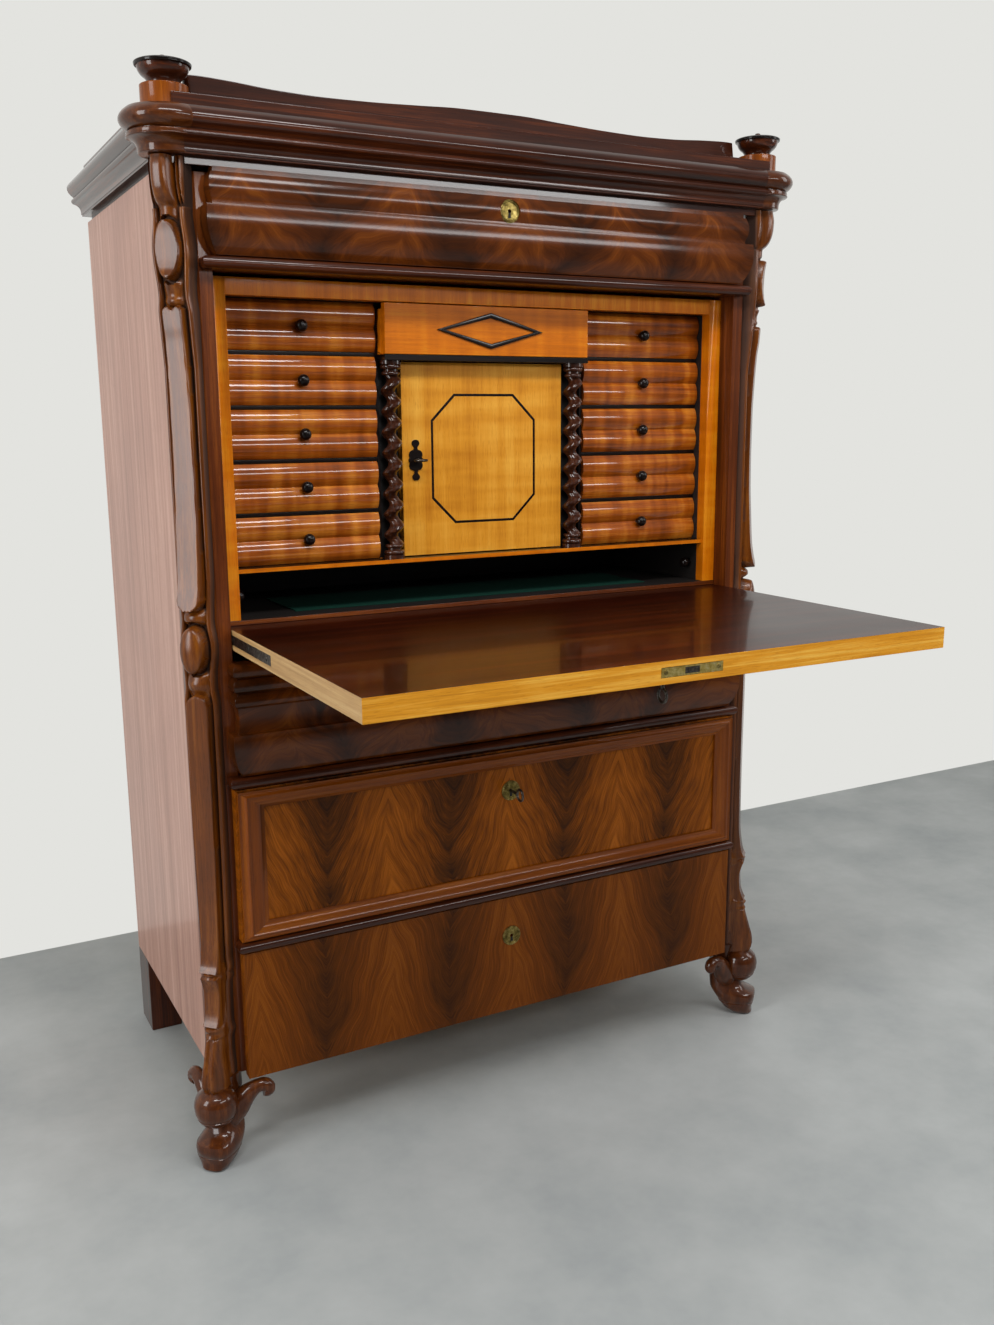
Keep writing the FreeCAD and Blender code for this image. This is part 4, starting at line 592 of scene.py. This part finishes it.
# carved pilasters on the canted corners: half-widths and heights of the figures in mm, by height above the floor
pilaster = {
    "low": 123, "high": 1447, "cant": (-479.25, -9.75), "columns": 76, "rows": 780,
    "ground": 6, "lean": [(1179, 0), (1269, 8), (1330, 11), (1447, 10)],
    "reedAt": 4.6, "reedWidth": 4.1, "reedCrest": 12.5,
    "outline": [(123, 20), (150, 21.5), (185, 19.5), (200, 20), (214, 23), (228, 20.5), (262, 21), (290, 22),
                (300, 24.5), (306, 23.5), (314, 25.5), (330, 24.5), (399, 25.5), (469, 26.5), (619, 27.2), (714, 27.2),
                (739, 24.2), (753, 24.4), (795, 28.6), (836, 24.2), (899, 27.2), (1249, 27), (1274, 24.6),
                (1330, 28.2), (1376, 24.4), (1400, 25.5), (1447, 26)],
    "necks": [(204, 30), (208, 39.2), (214, 36.5), (221, 39.6), (228, 26), (262, 18), (290, 18), (297, 30), (301, 34.5),
              (304.5, 33), (307.5, 36), (314, 24), (330, 10), (715, 10), (729, 14), (737, 19.5), (744, 22), (751, 20),
              (757, 17), (764, 6), (826, 6), (832, 18), (837, 22.5), (842, 22), (848, 16), (856, 6), (1254, 6),
              (1260, 20), (1266, 23.6), (1272, 21.6), (1279, 23.4), (1287, 26), (1294, 20), (1302, 6), (1358, 6),
              (1366, 22), (1372, 27.6), (1380, 27.4), (1386, 28), (1394, 20)],
    "neckWidths": [(123, 17), (342, 17.5), (379, 14), (699, 14), (735, 18.5), (760, 18.5), (795, 14), (828, 18.5),
                   (846, 18.5), (870, 14), (1250, 14), (1264, 17.5), (1290, 17.5), (1330, 14), (1368, 16.5),
                   (1384, 16.5), (1447, 14)],
    "facets": [
        {"low": 224, "high": 304, "bevel": 2, "foot": "square", "head": "square", "widths": [(224, 13.4), (304, 14.6)],
         "rises": [(224, 38), (234, 32.3), (250, 28), (275, 26.6), (290, 30), (304, 35)]},
        {"low": 309, "high": 729, "bevel": 1.8, "foot": "square", "head": "round",
         "widths": [(309, 15.2), (362, 15.5), (599, 17.6), (729, 17.8)],
         "rises": [(309, 36), (320, 30.1), (338, 26.6), (369, 23.4), (436, 22.3), (729, 22.6)]},
        {"low": 848, "high": 1260, "bevel": 1.8, "foot": "round", "head": "peaks",
         "widths": [(848, 17.4), (909, 18), (1039, 16.6), (1139, 15.8), (1224, 14.4), (1260, 14.6)],
         "rises": [(848, 34.5), (856, 33), (870, 29.7), (895, 26.1), (935, 23.5), (995, 20.5), (1055, 19.6),
                   (1113, 19.6), (1148, 20.6), (1212, 24.1), (1235, 27.1), (1260, 28.6)]}],
    "peakDrop": 10,
    "ovals": [{"middle": 1330, "tall": 38.5, "wide": 18.2, "dome": 0,
               "rises": [(1291.5, 37), (1307, 32.6), (1325, 30.7), (1348, 31.9), (1368.5, 36)]},
              {"middle": 794, "tall": 34.5, "wide": 18, "dome": 10, "rises": [(759, 26), (829, 25)]}],
    "ovalBevel": 1.8, "ovalGroove": 0.14,
    "topScroll": [(1383, 25), (1387, 30), (1390, 34), (1398, 39.5), (1407, 42.8), (1418, 44.6), (1429, 45),
                  (1447, 42.3)],
    "topWidth": 14.6, "topFoot": 10, "topGroove": 1.6, "topRib": 4.2,
    "footScroll": [(123, 48.6), (130, 52.5), (137, 54.5), (146, 54.2), (155, 52.7), (170, 48.5), (183, 44.6),
                   (195, 41), (206, 38)],
    "footWidths": [(123, 18.5), (140, 19), (175, 16), (206, 15.5)],
    "channelDepth": 0.07, "channelWidth": 4.5, "waxShadeDepth": 4, "waxShadeShare": 0.85,
}


def swell(depth, bevel):
    # a rounded shoulder: 0 at the rim, 1 once the bevel is passed
    s = min(1, max(0, depth / bevel))
    return math.sqrt(max(0, 1 - (1 - s) ** 2))


def rowShape(z):
    # everything that stays the same along one row of the carving
    p = pilaster
    shape = {name: between(p[name], z) for name in (
        "outline", "lean", "necks", "neckWidths", "topScroll", "footScroll", "footWidths")}
    shape["facets"] = [(facet, between(facet["widths"], z), between(facet["rises"], z)) for facet in p["facets"]
                       if facet["low"] < z < facet["high"]]
    shape["ovals"] = [(oval, between(oval["rises"], z)) for oval in p["ovals"]
                      if abs(z - oval["middle"]) < oval["tall"] * (1 + p["ovalGroove"])]
    return shape


def carvedHeight(x, z, row):
    # how far the carving stands out from the corner at one point, in mm
    p = pilaster
    edge = row["outline"] - abs(x)
    if edge < 0.3:
        return 0
    ground = height = p["ground"] + row["lean"]
    fromReed = abs(edge - p["reedAt"])
    if fromReed < p["reedWidth"]:  # the reed that follows each edge
        height += (p["reedCrest"] - p["ground"]) * math.sqrt(1 - (fromReed / p["reedWidth"]) ** 2)
    neck = row["neckWidths"]
    if abs(x) < neck:  # necks and knuckles, full and round
        height = max(height, row["necks"] * (1 - (x / neck) ** 2) ** 0.35)
    for facet, half, top in row["facets"]:  # sharp-edged faces, scooped towards their ends
        inside = min(half - abs(x), z - facet["low"], facet["high"] - z)
        if facet["foot"] == "round" and z < facet["low"] + half:
            inside = half - math.hypot(x, facet["low"] + half - z)
        if facet["head"] == "round" and z > facet["high"] - half:
            inside = half - math.hypot(x, z - facet["high"] + half)
        if facet["head"] == "peaks":  # two points side by side
            inside = min(inside, facet["high"] - p["peakDrop"] * abs(abs(x) / half - 0.5) - z)
        if inside > 0:
            height = max(height, ground + (top - ground) * swell(inside, facet["bevel"]))
    for oval, top in row["ovals"]:
        inside = 1 - math.hypot(x / oval["wide"], (z - oval["middle"]) / oval["tall"])
        if -p["ovalGroove"] < inside < 0:  # a dark groove frames the oval
            height = min(height, ground + 1)
        elif inside >= 0:
            height = max(height, ground + (top - ground) * swell(inside * oval["wide"], p["ovalBevel"])
                         + oval["dome"] * math.sqrt(1 - (1 - inside) ** 2))
    if z > p["topScroll"][0][0]:  # top scroll rolls out under the capital, beside a deep groove and two ribs
        roll, low = row["topScroll"], p["topFoot"]
        side = abs(x) - p["topWidth"]
        if side < 0:
            height = max(height, low + (roll - low) * (1 - (x / p["topWidth"]) ** 4) ** 0.4)
        else:
            rib = abs(math.sin(min(2, max(0, side - p["topGroove"]) / p["topRib"]) * math.pi))
            crest = (0.6 - 0.012 * side) * (roll - p["ground"]) * (0.45 + 0.55 * rib)
            height = max(ground, (p["ground"] + crest) * min(1, side / p["topGroove"]))
    half = row["footWidths"]
    if z < p["footScroll"][-1][0] and abs(x) < half:  # foot scroll swells over the ball, with a shallow channel
        channel = 1 - p["channelDepth"] * math.exp(-(x / p["channelWidth"]) ** 2)
        height = max(height, row["footScroll"] * channel * math.sqrt(1 - (abs(x) / half) ** 3.4))
    return height


freshStart()
bpy.ops.mesh.primitive_grid_add(x_subdivisions=pilaster["columns"], y_subdivisions=pilaster["rows"], size=2)
leftPilaster = bpy.context.object
slant = math.sqrt(0.5)  # the corners are canted at 45 degrees
deep, rows = [], {}
cantX, cantY = pilaster["cant"]
for vertex in leftPilaster.data.vertices:
    u, v = vertex.co.x, vertex.co.y
    z = pilaster["low"] + (v + 1) / 2 * (pilaster["high"] - pilaster["low"])
    if z not in rows:
        rows[z] = rowShape(z)
    row = rows[z]
    x = row["outline"] * u
    onRim = abs(u) > 0.9999 or abs(v) > 0.9999
    out = 0 if onRim else carvedHeight(x, z, row)
    # depth below the carving's ground at each point: it darkens the hollows, as old wax and as painted shade
    hollow = 1 - (out - pilaster["ground"] - row["lean"]) / pilaster["waxShadeDepth"]
    deep.append(min(1, max(0, hollow)) * pilaster["waxShadeShare"])
    vertex.co = ((cantX + (x - out) * slant) / 1000, (cantY - (x + out) * slant) / 1000, z / 1000)
leftPilaster.data.attributes.new("recess", "FLOAT", "POINT").data.foreach_set("value", deep)
makeActive(leftPilaster)
setMode("EDIT")
bpy.ops.mesh.select_all(action="DESELECT")
bpy.ops.mesh.select_mode(type="EDGE")
bpy.ops.mesh.select_non_manifold()
bpy.ops.mesh.edge_face_add()  # closes the back against the post
bpy.ops.mesh.select_all(action="SELECT")
bpy.ops.mesh.normals_make_consistent(inside=False)
bpy.ops.mesh.select_mode(type="VERT")
setMode("OBJECT")
smooth(50)
rightPilaster = mirrorCopy(leftPilaster)
for piece, side in ((leftPilaster, "left"), (rightPilaster, "right")):
    settle(piece, "carved_pilaster_" + side, "case", [waxShadeCarving], "mahogany", "corner_pilasters")
print("pilasters carved")

# front feet: a ball under the pilaster on a hoofed leg, between two scrolled brackets that end in curled ears
foot = {
    "ballOut": 18,
    "ball": [(0, 64, 0), (12, 65.5, 0.06), (22, 71.5, 0.06), (28.6, 80.8, 0), (28.0, 81.4, 0), (28.0, 82.2, 0),
             (29.2, 83, 0.05), (32.3, 97, 0.06), (30.4, 110, 0.08), (23, 121, 0.06), (14, 126.5, 0.06), (0, 129, 0)],
    "hoofPoints": 32, "hoofPower": 0.72,  # a power under 1 squares the oval
    "hoof": [(0, 25, 15, 15), (3, 24, 20, 20), (12, 17, 26, 25.5), (23.5, 14, 33, 29.5), (24.3, 14, 32.2, 28.7),
             (25.1, 14, 33.2, 29.8), (36, 11, 38, 31), (43, 8, 40, 30), (49, -1, 34, 27), (56, -6, 30, 24),
             (66, -8, 29, 22), (80, -12, 25, 20), (96, -16, 22, 20), (112, -17, 21, 21), (128, -14, 22, 22),
             (138.5, -12, 22, 24)],  # height, middle, half-width outwards and across
    "arm": [(-10, -4, 34, 19), (-1, -1, 50, 19), (9, 3, 66, 18), (20, 8, 82, 19.5), (30, 13, 98, 16.5),
            (40, 18, 110, 13), (51, 22, 117, 10.5), (61, 24, 118, 10.5), (67, 25, 111, 10.5), (64, 25, 104, 9),
            (58, 25, 105, 6)],  # along, out, height, radius
}


def hoofRing(z, centre, halfOut, halfAcross):
    ring = []
    for i in range(foot["hoofPoints"]):
        a = 2 * math.pi * i / foot["hoofPoints"]
        c, s = math.cos(a), math.sin(a)
        out = centre + halfOut * abs(c) ** foot["hoofPower"] * (1 if c > 0 else -1)
        along = halfAcross * abs(s) ** foot["hoofPower"] * (1 if s > 0 else -1)
        ring.append((cornerAxis[0] + (along - out) * slant / 1000,
                     cornerAxis[1] - (along + out) * slant / 1000, z / 1000))
    return ring


ballPlace = [axis - foot["ballOut"] * slant / 1000 for axis in cornerAxis]
ball = turnedPiece(foot["ball"], (*ballPlace, 0))
freshStart()
bpy.ops.mesh.primitive_circle_add(vertices=foot["hoofPoints"], radius=0.02, fill_type="NGON", location=(0, 0, 0))
hoof = bpy.context.object
setMode("EDIT")
for station in foot["hoof"][1:]:
    bpy.ops.mesh.extrude_region_move(TRANSFORM_OT_translate={"value": (0, 0, station[0] / 1000)})
setMode("OBJECT")
for count, vertex in enumerate(hoof.data.vertices):  # each extruded ring takes its station's shape
    level, point = divmod(count, foot["hoofPoints"])
    vertex.co = hoofRing(*foot["hoof"][level])[point]
faceOutward(hoof)
smooth(50)


def scrollArm(place):
    # one NURBS path with a round section whose radius follows the stations
    freshStart()
    bpy.ops.curve.primitive_nurbs_path_add(location=(0, 0, 0))
    arm = bpy.context.object
    curve = arm.data
    curve.dimensions, curve.bevel_depth, curve.bevel_resolution, curve.resolution_u = "3D", 0.001, 8, 10
    curve.use_fill_caps = True
    spline = curve.splines[0]
    spline.points.add(len(foot["arm"]) - len(spline.points))
    for point, (along, out, z, radius) in zip(spline.points, foot["arm"]):
        point.co = (*place(along / 1000, out / 1000), z / 1000, 1)
        point.radius = radius
    spline.order_u = 3
    spline.use_endpoint_u = True
    bpy.ops.object.convert(target="MESH")
    arm = bpy.context.object
    editAll(arm)
    bpy.ops.mesh.remove_doubles(threshold=0.00001)
    bpy.ops.mesh.normals_make_consistent(inside=False)
    setMode("OBJECT")
    smooth(60)
    return arm


frontArm = scrollArm(lambda along, out: (cornerAxis[0] + along, cornerAxis[1] - out))
sideArm = scrollArm(lambda along, out: (cornerAxis[0] - out, cornerAxis[1] + along))
for part, word in ((ball, "ball"), (hoof, "hoof"), (frontArm, "front_arm"), (sideArm, "side_arm")):
    twin = mirrorCopy(part)
    for piece, side in ((part, "left"), (twin, "right")):
        settle(piece, "foot_%s_%s" % (word, side), "case", [carvedMahogany["z"]], "mahogany", "front_feet")
print("feet carved")

# baize: a cut piece of cloth laid on the bed, a little uneven at its edges
cloth = {"size": (0.64, 0.15), "middle": (0, 0.117), "under": 0.8262, "thick": 0.0011, "ripple": 0.0001,
         "endWaver": 0.0004, "edgeWaver": 0.0005}
freshStart()
bpy.ops.mesh.primitive_grid_add(x_subdivisions=96, y_subdivisions=24, size=2, location=(0, 0, 0))
laid = bpy.context.object
for vertex in laid.data.vertices:
    u, v = vertex.co.x, vertex.co.y
    ripple = cloth["ripple"] * math.sin(9 * u + 2) * math.sin(5 * v + 1) + cloth["ripple"]
    vertex.co = (cloth["middle"][0] + u * cloth["size"][0] / 2 + cloth["endWaver"] * math.sin(23 * v) * u,
                 cloth["middle"][1] + v * cloth["size"][1] / 2 + cloth["edgeWaver"] * math.sin(31 * u) * v,
                 cloth["under"] + ripple)
makeActive(laid)
thickness = laid.modifiers.new("thickness", "SOLIDIFY")
thickness.thickness, thickness.offset = cloth["thick"], 1
bpy.ops.object.modifier_apply(modifier="thickness")
smooth(40)
settle(laid, "baize_sheet", "case", [baize], "baize", "bed_baize")
print("baize laid")

# brass and steel: beaded rims and keyhole slits on the escutcheons, slotted screws in the plates
fittings = {
    "keyholes": (("frieze", "frieze_drawer_lock", 1.4086), ("framed", "framed_drawer_lock", 0.51897),
                 ("plain", "plain_drawer_lock", 0.2675)),
    "rim": [(12.6, 0, 0), (12.6, 0.3, 0), (13.6, 0.9, 0.3), (15.4, 0.9, 0.2), (16.4, 0.2, 0), (16.4, 0, 0),
            (12.6, 0, 0)],
    "slit": [(-1.5, -2), (-2.6, -9.5), (2.6, -9.5), (1.5, -2)], "slitDeep": 0.0002,
    "screw": [(0, 0, 0), (3.1, 0, 0), (3.1, 0.25, 0.2), (2.4, 0.6, 0.06), (0, 0.75, 0)],
    "slot": [(-2.9, -0.35), (2.9, -0.35), (2.9, 0.35), (-2.9, 0.35)], "slotDeep": 0.0008,
    "screwLevel": 0.80425, "lockScrewX": 0.0405, "fallEdgeY": -0.517, "fallEndX": 0.439,
    "pivotScrewY": (-0.184, -0.105, -0.030),
}
facing = {"front": Matrix.Rotation(math.pi / 2, 4, "X"), "left": Matrix.Rotation(-math.pi / 2, 4, "Y"),
          "right": Matrix.Rotation(math.pi / 2, 4, "Y")}


def darkSlit(corners, deep, at, turn):
    # a slit: its outline in mm drawn on the face, with a little depth and eased edges
    slit = pulledOutline([(u / 1000, v / 1000, 0) for u, v in corners], (0, 0, deep))
    ease(slit, deep / 4, 1)
    slit.data.transform(Matrix.Translation(at) @ turn)
    return slit


for word, node, z in fittings["keyholes"]:
    at = (0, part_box(node)[0].y, z)
    body = nodes[node]["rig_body"]
    settle(turnedPiece(fittings["rim"], at, 40, facing["front"]), word + "_escutcheon_rim", body, [brass], "brass")
    settle(darkSlit(fittings["slit"], fittings["slitDeep"], at, facing["front"]), word + "_keyhole_slit", body,
           [keyholeDark], "steel")
level, edgeY = fittings["screwLevel"], fittings["fallEdgeY"]
screwPlaces = [("lock_" + side, (way * fittings["lockScrewX"], edgeY, level), "front", angle, "brass")
               for side, way, angle in (("left", -1, 25), ("right", 1, 70))]
for number, y in enumerate(fittings["pivotScrewY"], 1):
    screwPlaces += [("pivot_%s_%d" % (side, number), (way * fittings["fallEndX"], y, level), side,
                     angle * number, "steel") for side, way, angle in (("left", -1, 40), ("right", 1, 65))]
for word, at, side, angle, metal in screwPlaces:
    turn = facing[side] @ Matrix.Rotation(math.radians(angle), 4, "Z")
    head = turnedPiece(fittings["screw"], at, 24, turn)
    settle(head, word + "_screw", "fall", [{"brass": brass, "steel": steel}[metal]], metal)
    settle(darkSlit(fittings["slot"], fittings["slotDeep"], at, turn), word + "_screw_slot", "fall",
           [keyholeDark], "steel")
print("escutcheons and screws set")

# CAD nodes whose shape stays
for node in nodes.values():
    if not node.hide_render:
        slotName = node.data.materials[0].name
        node.data.materials[0] = {"mahogany": carvedMahogany["z"], "ebonised_wood": ebony["z"], "brass": brass,
                                  "steel": steel, "baize": baize}[slotName]
nodes["fall_lock"].data.materials[0] = brightBrass
nodes["twist_columns"].data.materials[0] = twistWood

# floor and wall lie where the photograph has them; the wall shows only its front face
room = {"wall": 0.895, "reach": 9.0, "floor": ("979b9b", "a3a6a5", "abaead"), "paint": "e3e3df"}
freshStart()
bpy.ops.mesh.primitive_plane_add(size=room["reach"] * 2, location=(0, 0, 0))
floor = bpy.context.object
floor.name = "studio_floor"
bpy.ops.mesh.primitive_plane_add(size=room["reach"] * 2, location=(0, room["wall"], 0), rotation=(math.pi / 2, 0, 0))
wall = bpy.context.object
wall.name = "studio_wall"
# sealed concrete: even grey in patches of a foot or so
floorPaint = mottled("sealed_grey_concrete", room["floor"], 3, 0.6, 0.1, {"IOR": 1.45}, bumpMm=0.2)
floor.data.materials.append(floorPaint)
# matt wall paint: plain and pale, and as bright to the camera as it is written
wallPaint, tree, shader = newMaterial("pale_wall_paint", Roughness=0.9)
shader.inputs["Base Color"].default_value = hexColour(room["paint"])
lightPath = addNode(tree, "ShaderNodeLightPath").node.outputs
seen = addNode(tree, "ShaderNodeMath", {0: lightPath["Is Camera Ray"], 1: lightPath["Is Glossy Ray"]},
               operation="MAXIMUM")
glow = addNode(tree, "ShaderNodeEmission", {"Color": hexColour(room["paint"]), "Strength": 1})
lit = addNode(tree, "ShaderNodeMixShader", {0: seen, 1: shader.outputs[0], 2: glow})
behind = addNode(tree, "ShaderNodeNewGeometry", out="Backfacing")
clear = addNode(tree, "ShaderNodeBsdfTransparent")
oneSided = addNode(tree, "ShaderNodeMixShader", {0: behind, 1: lit, 2: clear})
tree.links.new(oneSided, tree.nodes["Material Output"].inputs["Surface"])
wall.data.materials.append(wallPaint)

world = bpy.data.worlds.new("studio_world")
scene.world = world
world.use_nodes = True
sky = world.node_tree
# a pale room behind and above, darker towards the viewer, so that polish keeps its depth
direction = addNode(sky, "ShaderNodeTexCoord", out="Generated")
heading = addNode(sky, "ShaderNodeSeparateXYZ", {0: direction}).node.outputs
towards = addNode(sky, "ShaderNodeMath", {0: heading["Z"], 1: 0.6, 2: heading["Y"]}, operation="MULTIPLY_ADD")
shade = addNode(sky, "ShaderNodeMapRange", {"Value": towards, "From Min": -0.9, "From Max": 0.6, "To Min": 0.05,
                                            "To Max": 0.55})
seenBehind = addNode(sky, "ShaderNodeMath", {0: addNode(sky, "ShaderNodeLightPath", out="Is Camera Ray"), 1: 0.85},
                     operation="MULTIPLY")
shade = addNode(sky, "ShaderNodeMath", {0: shade, 1: seenBehind}, operation="MAXIMUM")
background = sky.nodes["Background"]
background.inputs["Color"].default_value = hexColour("eef0f0")
sky.links.new(shade, background.inputs["Strength"])

lamps = {
    "ceiling_softbox": {"at": (-0.4, -1.9, 3.1), "aim": (0, 0, 0.8), "size": (2.2, 0.4), "watts": 58},
    "front_softbox": {"at": (0.9, -2.4, 1.77), "aim": (0, 0, 1.0), "size": (1.8, 0.25), "watts": 20},
    "left_softbox": {"at": (-3.0, -0.75, 1.5), "aim": (0, 0, 0.9), "size": (0.9, 1.9), "watts": 48},
    "right_softbox": {"at": (2.6, -1.2, 1.9), "aim": (0, 0, 0.8), "size": (0.8, 1.8), "watts": 20},
}
for name, lamp in lamps.items():
    light = bpy.data.lights.new(name, "AREA")
    light.shape = "RECTANGLE"
    light.size, light.size_y = lamp["size"]
    light.energy = lamp["watts"]
    lightObject = bpy.data.objects.new(name, light)
    scene.collection.objects.link(lightObject)
    lightObject.location = lamp["at"]
    lightObject.rotation_euler = (Vector(lamp["aim"]) - Vector(lamp["at"])).to_track_quat("-Z", "Y").to_euler()

# camera solved from the straight edges of the case in the photograph
viewpoint = {"at": (-0.9022, -1.6881, 1.1113), "yaw": 28.18, "pitch": -11.497, "roll": -0.401, "lens": 32.71}
lens = bpy.data.cameras.new("photo_camera")
lens.lens, lens.sensor_width, lens.sensor_fit = viewpoint["lens"], 36, "AUTO"
camera = bpy.data.objects.new("photo_camera", lens)
scene.collection.objects.link(camera)
turn = Matrix.Rotation(math.radians(-viewpoint["yaw"]), 4, "Z")
tilt = Matrix.Rotation(math.radians(90 + viewpoint["pitch"]), 4, "X")
lean = Matrix.Rotation(math.radians(viewpoint["roll"]), 4, "Z")
camera.matrix_world = Matrix.Translation(viewpoint["at"]) @ turn @ tilt @ lean
scene.camera = camera
print("room, lamps and camera ready")
